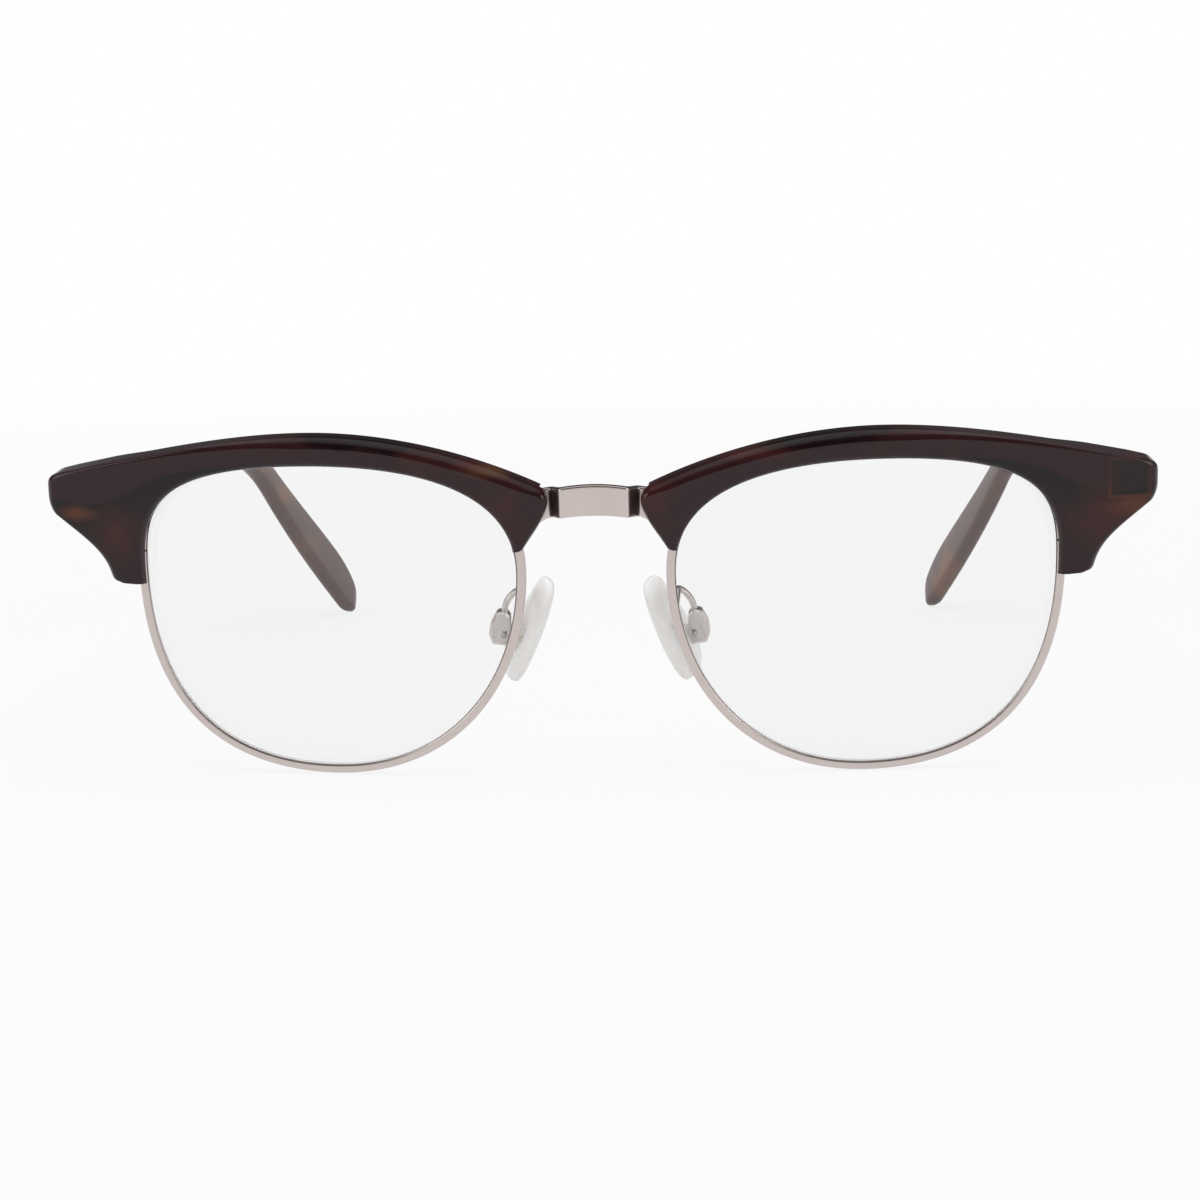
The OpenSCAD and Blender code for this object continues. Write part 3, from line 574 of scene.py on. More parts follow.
# Painted shade: below a wavy line low on the face the colour is darkened, most at the line
shade_curve = brow.node("ShaderNodeFloatCurve", {"Value": brow.over(from_middle, SHADE_LINE_REACH * MM)})
line = shade_curve.mapping.curves[0]
for point, (x, z) in zip(line.points, (SHADE_LINE[0], SHADE_LINE[-1])):
    point.location = (x / SHADE_LINE_REACH, z / SHADE_LINE_TOP)
for x, z in SHADE_LINE[1:-1]:
    line.points.new(x / SHADE_LINE_REACH, z / SHADE_LINE_TOP)
shade_curve.mapping.update()
above = brow.minus(front_at["Z"], brow.times(shade_curve.outputs[0], SHADE_LINE_TOP * MM))
rough_shade_line = brow.plus(above, brow.times(wobble, SHADE_LINE_WOBBLE * MM))
painted_shade_mask = brow.remap(rough_shade_line, SHADE_LINE_SOFT * MM, -SHADE_LINE_SOFT * MM)
fade = brow.remap(rough_shade_line, -SHADE_FADE * MM, 0.0, SHADE_LOW, SHADE_HIGH)
color = brow.blend(brow.times(painted_shade_mask, fade), sheet["Color"], SHADE_AND_PLATE_TONE)

for x, z, wide, high, soft, paint, strength in BROW_SPOTS:
    spot = spot_mask(brow, face, V(x, face_depth(x), z), wide, high, soft, wobble)
    color = brow.blend(brow.times(spot, strength), color, paint)

# Painted reflection: the upper side of the outer half is painted lighter and greyer
behind = brow.minus(front_at["Y"], brow.over(brow.times(from_middle, from_middle), 2 * FRONT_R * MM))
painted_sheen_mask = brow.times(brow.remap(behind, TOP_FROM * MM, TOP_TO * MM),
                    brow.remap(from_middle, SHEEN_FROM * MM, SHEEN_TO * MM))
color = brow.blend(painted_sheen_mask, color, PAINTED_SHEEN)

plate = plate_mask(brow, face, PLATE_AT, PLATE_HALF, 0.0)
plate_line = brow.minus(plate_mask(brow, face, PLATE_AT, PLATE_HALF, PLATE_LINE), plate, clamp=True)
line_strength = brow.remap(front_at["Z"], (PLATE_AT.z - PLATE_HALF[1]) * MM,
                           (PLATE_AT.z - 0.3 * PLATE_HALF[1]) * MM, LINE_BELOW, LINE_ABOVE)
color = brow.blend(brow.times(plate, PLATE_DARK), color, SHADE_AND_PLATE_TONE)
color = brow.blend(brow.times(brow.times(plate_line, line_strength), uneven), color, AMBER)
brow.set({"Base Color": color, "IOR": 1.5, "Specular IOR Level": 0.3})
ACETATE_MARKS, ACETATE_DEPTH = 0.006, 0.00002
brow.bump(brow.handle(ACETATE_MARKS, 0.075, 0.05), ACETATE_DEPTH, 0.5)
print(brow.material.name, len(BROW_SPOTS), "spots")

# %% [markdown]
# ## Acetate for the temples
# The temples are cut from a lighter tortoise than the brows: seen through the lenses they are
# brown with darker and lighter clouds, longer than they are high. Behind the bright lenses only
# their colour counts, so their gloss is kept low.

# %% Temple acetate
temple = Finish("temple_acetate")
stretched = temple.put("ShaderNodeMapping", {"Vector": temple.place, "Scale": (1.0, 0.45, 1.0)})[0]
sheet = temple.use(tortoise, {
    "Vector": stretched, "Patch size": 0.009, "Amount": 0.62, "Ground": (0.080, 0.041, 0.036, 1),
    "Patch": (0.105, 0.051, 0.039, 1), "Heart": (0.165, 0.070, 0.036, 1)})
temple.set({"Base Color": sheet["Color"], "IOR": 1.5, "Specular IOR Level": 0.08})
temple.bump(temple.handle(ACETATE_MARKS, 0.22, 0.08), ACETATE_DEPTH, 0.5)
print(temple.material.name)

# %% [markdown]
# ## Metals
# Four metals share one recipe, each with its own colour and grain: the warm silver of the
# eyewires, bridge, hinges and closing blocks, the slightly lighter silver of the pad arms and
# boxes, the darker turned screws, and the plain steel of the wire inside each temple.

# %% Metal materials
METAL_CLOUDS, METAL_DARKER = 260.0, 0.9


def metal_material(name, color, roughness, line_width, spread, depth):
    metal = Finish(name)
    lines = metal.use(grain, {"Line width": line_width, "Roughness": roughness, "Spread": spread})
    darker = tuple(c * METAL_DARKER for c in color[:3]) + (1,)
    shade = metal.blend(metal.noise(metal.place, METAL_CLOUDS, 3.0), color, darker)
    metal.set({"Metallic": 1.0, "Base Color": shade, "Roughness": lines["Roughness"]})
    metal.bump(lines["Height"], depth, 0.4)
    return metal.material


# Colour, roughness, width of the grain's lines, spread of the roughness, depth of the lines
warm_silver = metal_material("warm_silver", (0.63, 0.555, 0.530, 1), 0.30, 0.00010, 0.14, 0.000004)
screw_silver = metal_material("screw_silver", (0.42, 0.40, 0.385, 1), 0.20, 0.00006, 0.10, 0.000003)
core_steel = metal_material("core_steel", (0.50, 0.49, 0.48, 1), 0.35, 0.00012, 0.15, 0.000005)
box_silver = metal_material("box_silver", (0.66, 0.61, 0.585, 1), 0.34, 0.00012, 0.16, 0.000005)
print("metals made")

# %% [markdown]
# ## Lenses
# A lens is a solid disc of clear plastic, so it is one closed mesh with a refracting shader. Its
# edge is ground and not polished, so where a face looks sideways it scatters light like frosted
# glass. Light that would only cast the lens's shadow passes straight through, or a clear lens would
# shade like a dark one: that is what Light Path's shadow ray is for.

# %% Lens material
EDGE_LEVEL, FACE_LEVEL = 0.80, 0.88
lens = Finish("lens_clear")
haze = lens.noise(lens.place, 60.0, 2.0)
lens.set({"Transmission Weight": 1.0, "IOR": 1.5,
          "Base Color": lens.blend(haze, (0.925, 0.927, 0.927, 1), (0.935, 0.937, 0.937, 1))})
lens.handle(0.02, 0.004, 0.006)
looks = lens.split(lens.put("ShaderNodeNewGeometry")["True Normal"])
rim_side = lens.remap(lens.number("ABSOLUTE", looks["Y"]), FACE_LEVEL, EDGE_LEVEL)
ground = lens.put("ShaderNodeBsdfDiffuse", {"Color": (0.86, 0.85, 0.84, 1)})[0]
straight = lens.put("ShaderNodeBsdfTransparent", {"Color": (0.95, 0.955, 0.96, 1)})[0]
edged = lens.mix_shaders(rim_side, lens.shader.outputs[0], ground)
shadow_ray = lens.put("ShaderNodeLightPath")["Is Shadow Ray"]
lens.fill(lens.end, {"Surface": lens.mix_shaders(shadow_ray, edged, straight)})
print(lens.material.name)

# %% [markdown]
# ## Silicone for the pads
# Soft nose pads are milky: light goes in, scatters, and comes out a little warmer. Subsurface
# does the scattering, a small share of transmission keeps the rim from looking solid, and cloudy
# noise gives the pearly look of a moulded pad. The plate inside a pad is plain stiff plastic.

# %% Pad materials
silicone = Finish("milky_silicone")
cloudy = silicone.noise(silicone.place, 420.0, 5.0, Distortion=1.2)
silicone.bump(silicone.handle(0.003, 0.30, 0.16), 0.00006, 0.4)
silicone.set({"Base Color": silicone.blend(cloudy, (0.97, 0.945, 0.928, 1), (0.88, 0.843, 0.82, 1)),
              "Subsurface Weight": 0.75, "Subsurface Radius": (0.0030, 0.0022, 0.0018),
              "Subsurface Scale": 1.0, "Transmission Weight": 0.05, "IOR": 1.41})

pad_core = Finish("pad_core")
stain = pad_core.handle(0.002, 0.4, 0.1)
pad_core.set({"Base Color": pad_core.blend(stain, (0.78, 0.77, 0.74, 1), (0.70, 0.69, 0.66, 1))})
print(silicone.material.name, pad_core.material.name)

# %% [markdown]
# ## The lens outline
# Four cubic curves, each from one side of the lens's box to the next, give the outline. The pair
# of fullness values of a curve says how far it follows the box before it turns, which is what
# makes this shape squarer above and rounder below. The lens and the eyewire both use it.

# %% Outline
TOUCH = [V(1.6, LENS_H / 2), V(LENS_W / 2, 6.5), V(0.2, -LENS_H / 2), V(-LENS_W / 2, 6.2)]
FULLNESS = [(0.97, 0.50), (0.85, 0.43), (0.65, 0.51), (0.91, 0.35)]
FACE_SLOPE = lens_x / FRONT_R


def outline_curve(i):
    """The cubic curve from one touching point to the next, clockwise from the top."""
    start, end = TOUCH[i], TOUCH[(i + 1) % 4]
    gap = end - start
    along, across = (V(gap.x, 0), V(0, gap.y)) if i % 2 == 0 else (V(0, gap.y), V(gap.x, 0))
    return [start, start + FULLNESS[i][0] * along, end - FULLNESS[i][1] * across, end]


LENS_CURVES = [outline_curve(i) for i in range(4)]


def edge(t, off=0.0):
    """A point of the outline, moved outwards by off. t counts the four curves from the top."""
    wrapped = t - 4 * floor(t / 4)
    i = min(int(wrapped), 3)
    f = wrapped - i
    d = bezier_dir(LENS_CURVES[i], f).normalized()
    return bezier(LENS_CURVES[i], f) + off * V(-d.y, d.x)


def lens_depth(p):
    """Depth of the lens's front surface at a point measured from the lens's centre."""
    return FACE_SLOPE * p.x + (p.x * p.x + p.y * p.y) / (2 * LENS_BASE_R)


def on_wire(p, back, depth_at=None):
    """A place this far behind the eyewire's front, at its own depth or that of another place."""
    return V(lens_x + p.x, lens_depth(p if depth_at is None else depth_at) + LIP_T + back, p.y)


print("outline touches", [tuple(round(v, 2) for v in edge(t)) for t in range(4)])

# %% [markdown]
# ## Eyewires, swept with Geometry Nodes
# An eyewire is a metal strip with a groove inside, rolled into the lens's outline. That is a rule:
# one section, carried along one path. The path is drawn flat, as the wire is bent first, and the
# tree then pushes it back into the front's curve, builds the grooved section from its named
# sizes and sweeps it. The wire is open at the slit between its two closing blocks.

# %% Eyewire tree


def corner_list(tree, corners):
    """A closed outline with its corners at the given pairs of outputs or numbers."""
    line = tree.put("GeometryNodeMeshLine", {"Count": len(corners)})[0]
    pick = tree.node("GeometryNodeIndexSwitch", data_type="VECTOR")
    while len(pick.index_switch_items) < len(corners):
        pick.index_switch_items.new()
    tree.fill(pick, {0: tree.put("GeometryNodeInputIndex")[0]})
    tree.fill(pick, {i + 1: tree.join(x, y) for i, (x, y) in enumerate(corners)})
    placed = tree.put("GeometryNodeSetPosition", {"Geometry": line, "Position": pick.outputs[0]})[0]
    path = tree.put("GeometryNodeMeshToCurve", {"Mesh": placed})[0]
    return tree.put("GeometryNodeSetSplineCyclic", {"Geometry": path, "Cyclic": True})[0]


def close_tree(tree, geometry, metal, title):
    """Ends a tree: instances become real geometry, which an export needs, and get their metal."""
    real = tree.put("GeometryNodeRealizeInstances", {"Geometry": geometry})[0]
    coated = tree.put("GeometryNodeSetMaterial", {"Geometry": real, "Material": metal})[0]
    tree.fill(tree.end, {title: coated})
    print("tree", tree.tree.name, len(tree.tree.nodes), "nodes")


eyewire, given = new_group("eyewire", "GeometryNodeTree", [
    ("Path", GEOMETRY, None), ("Wall", FLOAT, 0.00075), ("Groove depth", FLOAT, 0.00045),
    ("Groove width", FLOAT, 0.001), ("Wire depth", FLOAT, 0.002), ("Corner radius", FLOAT, 0.0002),
    ("Face radius", FLOAT, 0.132), ("Side slope", FLOAT, 0.096), ("Metal", MATERIAL, None)],
    [("Wire", GEOMETRY)])
flat = eyewire.split(eyewire.put("GeometryNodeInputPosition")[0])
squares = eyewire.plus(eyewire.times(flat[0], flat[0]), eyewire.times(flat[1], flat[1]))
sag = eyewire.over(squares, eyewire.times(given["Face radius"], 2.0))
depth = eyewire.plus(sag, eyewire.times(flat[0], given["Side slope"]))
curved = eyewire.put("GeometryNodeSetPosition", {
    "Geometry": given["Path"], "Offset": eyewire.join(z=eyewire.times(depth, -1.0))})[0]
middle = eyewire.times(given["Wire depth"], 0.5)
half_groove = eyewire.times(given["Groove width"], 0.5)
outer = eyewire.times(given["Wall"], -1.0)
inner = given["Groove depth"]
section = corner_list(eyewire, [
    (outer, 0.0), (outer, given["Wire depth"]), (inner, given["Wire depth"]),
    (inner, eyewire.plus(middle, half_groove)), (0.0, middle),
    (inner, eyewire.minus(middle, half_groove)), (inner, 0.0)])
eased = eyewire.put("GeometryNodeFilletCurve", {
    "Curve": section, "Radius": given["Corner radius"], "Limit Radius": True, "Count": 4}, mode="POLY")[0]
swept = eyewire.put("GeometryNodeCurveToMesh", {
    "Curve": curved, "Profile Curve": eased, "Fill Caps": True})[0]
close_tree(eyewire, swept, given["Metal"], "Wire")

# %% [markdown]
# ## A helper that runs a tree
# A Geometry Nodes modifier knows its inputs by the sockets' identifiers, not by their names, so
# the helper looks each name up. It sets them before the object is first evaluated, takes the
# result as a plain mesh and throws the object with its modifier away.

# %% Run a tree


def run_tree(group, source, values, name):
    """The mesh that a Geometry Nodes tree makes from a source object and named input values."""
    sockets = {s.name: s.identifier for s in group.tree.interface.items_tree if s.in_out == "INPUT"}
    modifier = source.modifiers.new(group.tree.name, "NODES")
    modifier.node_group = group.tree
    for title, value in values.items():
        modifier[sockets[title]] = value
    return applied(source, name)


def path_object(points):
    """A curve object of one spline of straight stretches, its sides kept level along Z."""
    data = bpy.data.curves.new("path", "CURVE")
    data.dimensions = "3D"
    data.twist_mode = "Z_UP"
    spline = data.splines.new("POLY")
    spline.points.add(len(points) - 1)
    for point, p in zip(spline.points, points):
        point.co = tuple(p) + (1,)
    return new_object("path", data)


# %% Eyewires
LOCK_T = 0.9
PATH_STEPS = 320
WIRE_ROUND = 0.32

split_f = LOCK_SLIT / 2 / (3 * bezier_dir(LENS_CURVES[0], LOCK_T)).length
path = [edge(lerp(LOCK_T + split_f, LOCK_T + 4 - split_f, i / PATH_STEPS)) for i in range(PATH_STEPS + 1)]
rim_mesh = run_tree(eyewire, path_object([(p.x * MM, p.y * MM, 0) for p in path]), {
    "Wall": WIRE_WALL * MM, "Groove depth": GROOVE_DEPTH * MM, "Groove width": GROOVE_W * MM,
    "Wire depth": WIRE_D * MM, "Corner radius": WIRE_ROUND * MM, "Face radius": LENS_BASE_R * MM,
    "Side slope": FACE_SLOPE, "Metal": warm_silver}, "rim")
stand_up = Matrix(((1, 0, 0), (0, 0, -1), (0, 1, 0))).to_4x4()
in_front = Matrix.Translation(V(lens_x, LIP_T, 0) * MM)
rim_mesh.transform(Matrix.Translation(front_datum * MM) @ lean.to_4x4() @ in_front @ stand_up)
pair("eyewire", finish_mesh(rim_mesh), warm_silver, "front", "rim")

# %% [markdown]
# ## Lenses
# Rings of the outline, each a share of the full size, follow the same curve front and back, with a
# narrow ridge round the edge that sits in the eyewire's groove. The ridge is shaded flat, because
# a smooth blend from it to the faces would bend the light at the rim.

# %% Lens meshes
LENS_POINTS, LENS_RINGS = 320, 14
SMOOTH_FROM = 0.85
inside = -GROOVE_DEPTH - RUN_GAP
mid = WIRE_D / 2


def lens_ring(share, back):
    return [on_wire(share * edge(4 * i / LENS_POINTS, inside), back) for i in range(LENS_POINTS)]


def ridge_ring(off, back):
    turns = [4 * i / LENS_POINTS for i in range(LENS_POINTS)]
    return [on_wire(edge(t, off), back, depth_at=edge(t)) for t in turns]


shares = [(i + 0.4) / (LENS_RINGS + 0.4) for i in range(LENS_RINGS + 1)]
rings = [lens_ring(f, mid - LENS_T / 2) for f in shares]
for off, back in ((inside, mid - GROOVE_W / 2), (-RUN_GAP, mid), (inside, mid + GROOVE_W / 2)):
    rings.append(ridge_ring(off, back))
rings += [lens_ring(f, mid + LENS_T / 2) for f in reversed(shares)]
lens_mesh = loft(rings, on_front)
for polygon in lens_mesh.polygons:
    polygon.use_smooth = abs(polygon.normal.y) > SMOOTH_FROM
pair("lens", lens_mesh, lens.material, "front", "lens")

# %% [markdown]
# ## Brows
# A brow is milled from thick acetate sheet and then tumbled, so its front is softly crowned and
# every edge is round. It is lofted from sections that join a place on the lens's outline to a
# place on the brow's own outline. The crown's ridge lies nearer the lens, so the upper part leans
# back and catches the light from above, and the lower third leans down and stays darker. The
# upper edge is rounder over the inner half of the lens and tighter over the outer half.

# %% Brow outline
crown = V(lens_x + TOUCH[0].x, LENS_H / 2 + BROW_RISE)
nose_x = BROW_GAP / 2
wire_out_x = lens_x + LENS_W / 2 + WIRE_WALL
NOSE_T, FOOT_T = -0.912, 1.03
nose_foot = V(lens_x, 0) + edge(NOSE_T, WIRE_WALL) - V(0.3, 0)
nose_high = V(nose_x, BRIDGE_Z - 0.1)
nose_top = V(nose_x + 1.2, BRIDGE_Z + 1.7)
end_top = V(end_x - 1.9, HINGE_Z + 3.3)
end_high = V(end_x, HINGE_Z + 1.6)
end_low = V(end_x - 0.7, HINGE_Z - 2.3)
foot_out = V(wire_out_x + FOOT_W - 0.3, FOOT_Z + 1.7)
foot_tip = V(wire_out_x + FOOT_W - 1.5, FOOT_Z)
# Each stretch of the outline: its ends with their handles, where on the lens's outline it starts
# and stops, and its steps
BROW_CURVES = [
    (nose_foot, V(-1.1, 1.6), V(0, -1.9), nose_high, NOSE_T, -0.80, 20),
    (nose_high, V(0, 0.9), V(-0.8, -0.4), nose_top, -0.80, -0.70, 12),
    (nose_top, V(9.2, 4.3), V(-10, 0), crown, -0.70, 0, 44),
    (crown, V(11, 0), V(-11.8, 2.7), end_top, 0, 0.66, 46),
    (end_top, V(1.1, -0.25), V(0, 1.1), end_high, 0.66, 0.74, 14),
    (end_high, V(0, -1.5), V(0.9, 1.3), end_low, 0.74, 0.80, 12),
    (end_low, V(-3.3, -2.7), V(1.1, 2.9), foot_out, 0.80, 0.99, 26),
    (foot_out, V(-0.4, -1.1), V(0.9, 0.1), foot_tip, 0.99, FOOT_T, 10),
]
stations = [(NOSE_T, nose_foot)]
for start, leave, arrive, end, t_from, t_to, steps in BROW_CURVES:
    curve = [start, start + leave, end + arrive, end]
    stations += [(lerp(t_from, t_to, i / steps), bezier(curve, i / steps)) for i in range(1, steps + 1)]
print("brow stations", len(stations))

# %% Brow section
# The crown's ridge as a share of the way out, its height, and how steeply the front falls away
RIDGE_AT, CROWN_H, CROWN_POWER = 0.40, 0.34, 1.7
# What the upper edge's radius gains over the inner half and loses over the outer half. Each comes
# in between the first two places on the lens's outline, and goes out between the last two
ROLL, TIGHT = 0.8, 0.45
ROLL_OVER, TIGHT_OVER = (-0.78, -0.66, -0.2, 0.3), (0.05, 0.4, 0.62, 0.72)
# Over the foot the lip covers less of the lens, and the end block is thicker than the rest
LIP_FOOT, LIP_OVER = 0.2, (0.6, 0.9)
END_OVER = (lens_x + LENS_W / 2 - 2, lens_x + LENS_W / 2 + 4)
REAR_ROUND, END_ROUND = 0.15, 0.25
ROUND_STEPS, REAR_STEPS, END_STEPS, FACE_STEPS = 6, 3, 4, 10
# A rounding reaches a little further along the face than it is deep, and less deep at the lip
ROUND_REACH, LIP_DEEP = 1.1, 0.75
# Two rows of points near the edges of the upper side keep it flat for the shading
TOP_ROWS = (0.06, 0.94)


def brow_back(x):
    return face_depth(x) + lerp(BROW_T, BROW_END_T, ease(x, *END_OVER))


def brow_front(p, u, drop=0):
    """A point of the crowned front, at a share u of the way from the lip outwards."""
    reach = RIDGE_AT if u < RIDGE_AT else 1 - RIDGE_AT
    fall = CROWN_H * (abs(u - RIDGE_AT) / reach) ** CROWN_POWER
    return V(p.x, face_depth(p.x) + fall + drop, p.y)


def hump(t, places):
    """1 between the middle two of four places, and easing down to 0 at the outer two."""
    return ease(t, places[0], places[1]) * (1 - ease(t, places[2], places[3]))


def brow_ring(t, outer):
    """The section between the lens's edge and a point of the outer outline."""
    lip = V(lens_x, 0) + edge(t, lerp(-GROOVE_DEPTH, -LIP_FOOT, ease(t, *LIP_OVER)))
    seat = V(lens_x, 0) + edge(t, WIRE_WALL + SEAT_GAP)
    floor_y = lens_depth(edge(t)) + LIP_T - SEAT_GAP
    across = outer - lip
    width = across.length
    way = across / width
    r = min(BROW_ROUND, width / 3)
    r_out = min(BROW_ROUND + ROLL * hump(t, ROLL_OVER) - TIGHT * hump(t, TIGHT_OVER), width / 3)

    ring = [V(seat.x, floor_y, seat.y), V(lip.x, floor_y, lip.y)]
    for inset, rise in rounding(ROUND_STEPS):
        d = r * inset * ROUND_REACH
        ring.append(brow_front(lip + way * d, d / width, LIP_DEEP * r * rise))
    for i in range(1, FACE_STEPS):
        u = lerp(r * ROUND_REACH / width, 1 - r_out * ROUND_REACH / width, i / FACE_STEPS)
        ring.append(brow_front(lip + across * u, u))
    for inset, rise in reversed(rounding(ROUND_STEPS)):
        d = r_out * inset * ROUND_REACH
        ring.append(brow_front(outer - way * d, 1 - d / width, r_out * rise))
    top_from, top_to = ring[-1].y, brow_back(outer.x) - REAR_ROUND
    ring += [V(outer.x, lerp(top_from, top_to, row), outer.y) for row in TOP_ROWS]
    for inset, rise in rounding(REAR_STEPS):
        p = outer - way * (REAR_ROUND * inset)
        ring.append(V(p.x, brow_back(p.x) - REAR_ROUND * rise, p.y))
    ring.append(V(seat.x, brow_back(seat.x), seat.y))
    return ring


def centre_of(ring):
    return sum(ring, V(0, 0, 0)) / len(ring)


def rounded_end(rings):
    """Eases the last ring of a loft over its end: it shrinks a little as it moves on."""
    last, centre = rings[-1], centre_of(rings[-1])
    way = (centre - centre_of(rings[-2])).normalized()
    return [[p + (centre - p).normalized() * END_ROUND * inset + way * END_ROUND * (1 - rise) for p in last]
            for inset, rise in rounding(END_STEPS)[1:]]


brow_rings = [brow_ring(t, outer) for t, outer in stations]
brow_mesh = loft(rounded_end(brow_rings[::-1])[::-1] + brow_rings + rounded_end(brow_rings), on_front)
print("brow skin", len(brow_mesh.polygons), "faces")

# %% [markdown]
# ## Pockets in the brows
# The brow is open where other pieces enter it: behind its inner end for the bridge's wing, round
# the closing blocks of the eyewire, and at its outer end, where the temple butts against it and
# the hinge leaf is sunk in. Boxes in the frame of each piece are taken out with a boolean.

# %% Cut the brows
FAR = 40
BROW_SEAT = 2.4
LEAF_SINK, LEAF_W, LEAF_T = 2.7, 5.3, 1
LOCK_W, LOCK_H, LOCK_D, LOCK_HEAD = 2.5, 1.7, 2.2, 0.05
WING_T, WING_TOP, LOCK_SINK = -0.70, BRIDGE_Z + 1.6, 0.3
face_out = KNUCKLE_R + 0.15
hinge_back = KNUCKLE_R + 0.25
leaf_y = -hinge_back - LEAF_SINK
lock_at = on_wire(edge(LOCK_T, WIRE_WALL), WIRE_D / 2) + V(LOCK_W / 2 - LOCK_SINK, 0, 0)
wing_stop = lens_x + edge(WING_T, WIRE_WALL).x
brow_mesh = cut(brow_mesh, [
    box_mesh((-FAR, BROW_SEAT, -FAR), (wing_stop, FAR, WING_TOP), on_front),
    box_mesh(lock_at - V(LOCK_W / 2, LOCK_D / 2 + LOCK_HEAD, FAR / 4),
             lock_at + V(LOCK_W / 2 + LOCK_HEAD, FAR / 4, LOCK_SLIT / 2 + LOCK_H), on_front),
    box_mesh((-face_out, -hinge_back, -FAR / 2), (FAR - face_out, FAR - hinge_back, FAR / 2), on_temple),
    box_mesh((-KNUCKLE_R, leaf_y, -LEAF_H / 2), (KNUCKLE_R, 1, LEAF_H / 2), on_temple),
    box_mesh((-KNUCKLE_R, leaf_y, -LEAF_H / 2), (LEAF_W, leaf_y + LEAF_T, LEAF_H / 2), on_temple)])
pair("brow", brow_mesh, brow.material, "front", "brow")

# %% [markdown]
# ## Bridge
# The bridge is one strip of sheet metal, pressed so that its ends dive behind the brows, where
# they spread and are soldered to the eyewires. It is lofted from sections across the strip: level
# in the middle, then along strands that each run to their own place on the wire.

# %% Bridge mesh
BRIDGE_FRONT, DIVE_FROM, DIVE_TO = 0.5, 4.2, 6
WELD_LOW_T, WELD_HIGH_T, WELD_BITE = -0.895, -0.74, 0.25
STRIP_ROUND = 0.28
STRANDS, MIDDLE_STEPS, WING_STEPS = 12, 40, 18
bridge_low = V(DIVE_TO, BRIDGE_Z - BRIDGE_H / 2 - 0.6)
bridge_high = V(DIVE_TO, BRIDGE_Z + BRIDGE_H / 2 - 0.7)


def wing_strand(f):
    start = lerp(bridge_low, bridge_high, f)
    end = V(lens_x, 0) + edge(lerp(WELD_LOW_T, WELD_HIGH_T, f), WIRE_WALL - WELD_BITE)
    return [start, start + lerp(V(1, -0.45), V(2, -0.2), f), end + lerp(V(-1.1, 1.6), V(-2, 1.4), f), end]


def strip_corner(p, inward, y, sign):
    """The rounded edge at one corner of the strip, from its side towards its face."""
    points = []
    for inset, rise in rounding(3)[:3]:
        q = p + inward * STRIP_ROUND * inset
        points.append(V(q.x, y + sign * STRIP_ROUND * rise, q.y))
    return points


def strip_ring(points, y):
    """The section through a row of points from the strip's lower to its upper edge."""
    n = len(points) - 1
    share = STRIP_ROUND / (points[n] - points[0]).length
    ring = []
    for depth, sign, order in ((y, 1, points), (y + BRIDGE_T, -1, points[::-1])):
        across = order[n] - order[0]
        inward = across.normalized()
        ring += strip_corner(order[0], inward, depth, sign)
        for i in range(n + 1):
            q = order[i] + across * share * (1 - 2 * i / n)
            ring.append(V(q.x, depth, q.y))
        ring += strip_corner(order[n], -inward, depth, sign)[::-1]
    return ring


def middle_ring(x):
    f = abs(x) / DIVE_TO
    low = V(x, lerp(BRIDGE_Z - BRIDGE_H / 2, bridge_low.y, f * f))
    high = V(x, lerp(BRIDGE_Z + BRIDGE_H / 2, bridge_high.y, f * f))
    y = lerp(BRIDGE_FRONT, BROW_SEAT, ease(abs(x), DIVE_FROM, DIVE_TO))
    return strip_ring([lerp(low, high, i / STRANDS) for i in range(STRANDS + 1)], y)


def wing_ring(f):
    return strip_ring([bezier(wing_strand(i / STRANDS), f) for i in range(STRANDS + 1)], BROW_SEAT)


half = [middle_ring(DIVE_TO * i / MIDDLE_STEPS) for i in range(MIDDLE_STEPS)]
half += [wing_ring(i / WING_STEPS) for i in range(WING_STEPS + 1)]
other = [[V(-p.x, p.y, p.z) for p in ring] for ring in half[:0:-1]]
bridge = dress("bridge_strip", loft(other + half, on_front), warm_silver, "front", "bridge")
print("bridge", len(bridge.data.polygons), "faces")

# %% [markdown]
# ## Temples
# A temple is a flat bar with soft edges: high at the hinge, slim before the ear, and then a bent
# paddle whose upper edge curves down to the tip. Its section is a rounded rectangle that stays
# square to the side view, as the bar is cut flat and bent afterwards. Against the solid, the upper
# edge runs a little lower along the bar, so that it hides behind the brow, and higher on the
# paddle. The slot for the hinge leaf is cut into its inner side.

# %% Temple sizes
butt_y = -hinge_back + 0.08
straight_l = BEND_AT - butt_y
bend_l = BEND_R * BEND_ANGLE
total_l = TEMPLE_LEN - butt_y
bend_end = straight_l + bend_l
tip_l = total_l - bend_end
WAIST_AT = 0.9 * straight_l
PADDLE_AT = total_l - 9
RISE_AT = straight_l + bend_l / 3
TOP_CUT, CUT_L, PADDLE_MORE = 0.9, 14, 1.9
TIP_CURVE, TIP_LEFT, TIP_POWER, TIP_IN_POWER = 11.5, 0.24, 2.4, 1.4
CORNER, CORNER_SHARE, CORNER_STEPS = 1.3, 0.45, 6
BUTT_STEPS, BAR_STEPS, BEND_STEPS, PADDLE_STEPS, TIP_STEPS = 4, 60, 36, 30, 12
BUTT_ROUND, ROUND_L, TEMPLE_LEAF_L = 0.3, 2.8, 10.4


def superellipse(f):
    return (1 - f ** TIP_POWER) ** (1 / TIP_POWER)


def temple_turn(s):
    return min(max((s - straight_l) / bend_l, 0), 1) * BEND_ANGLE


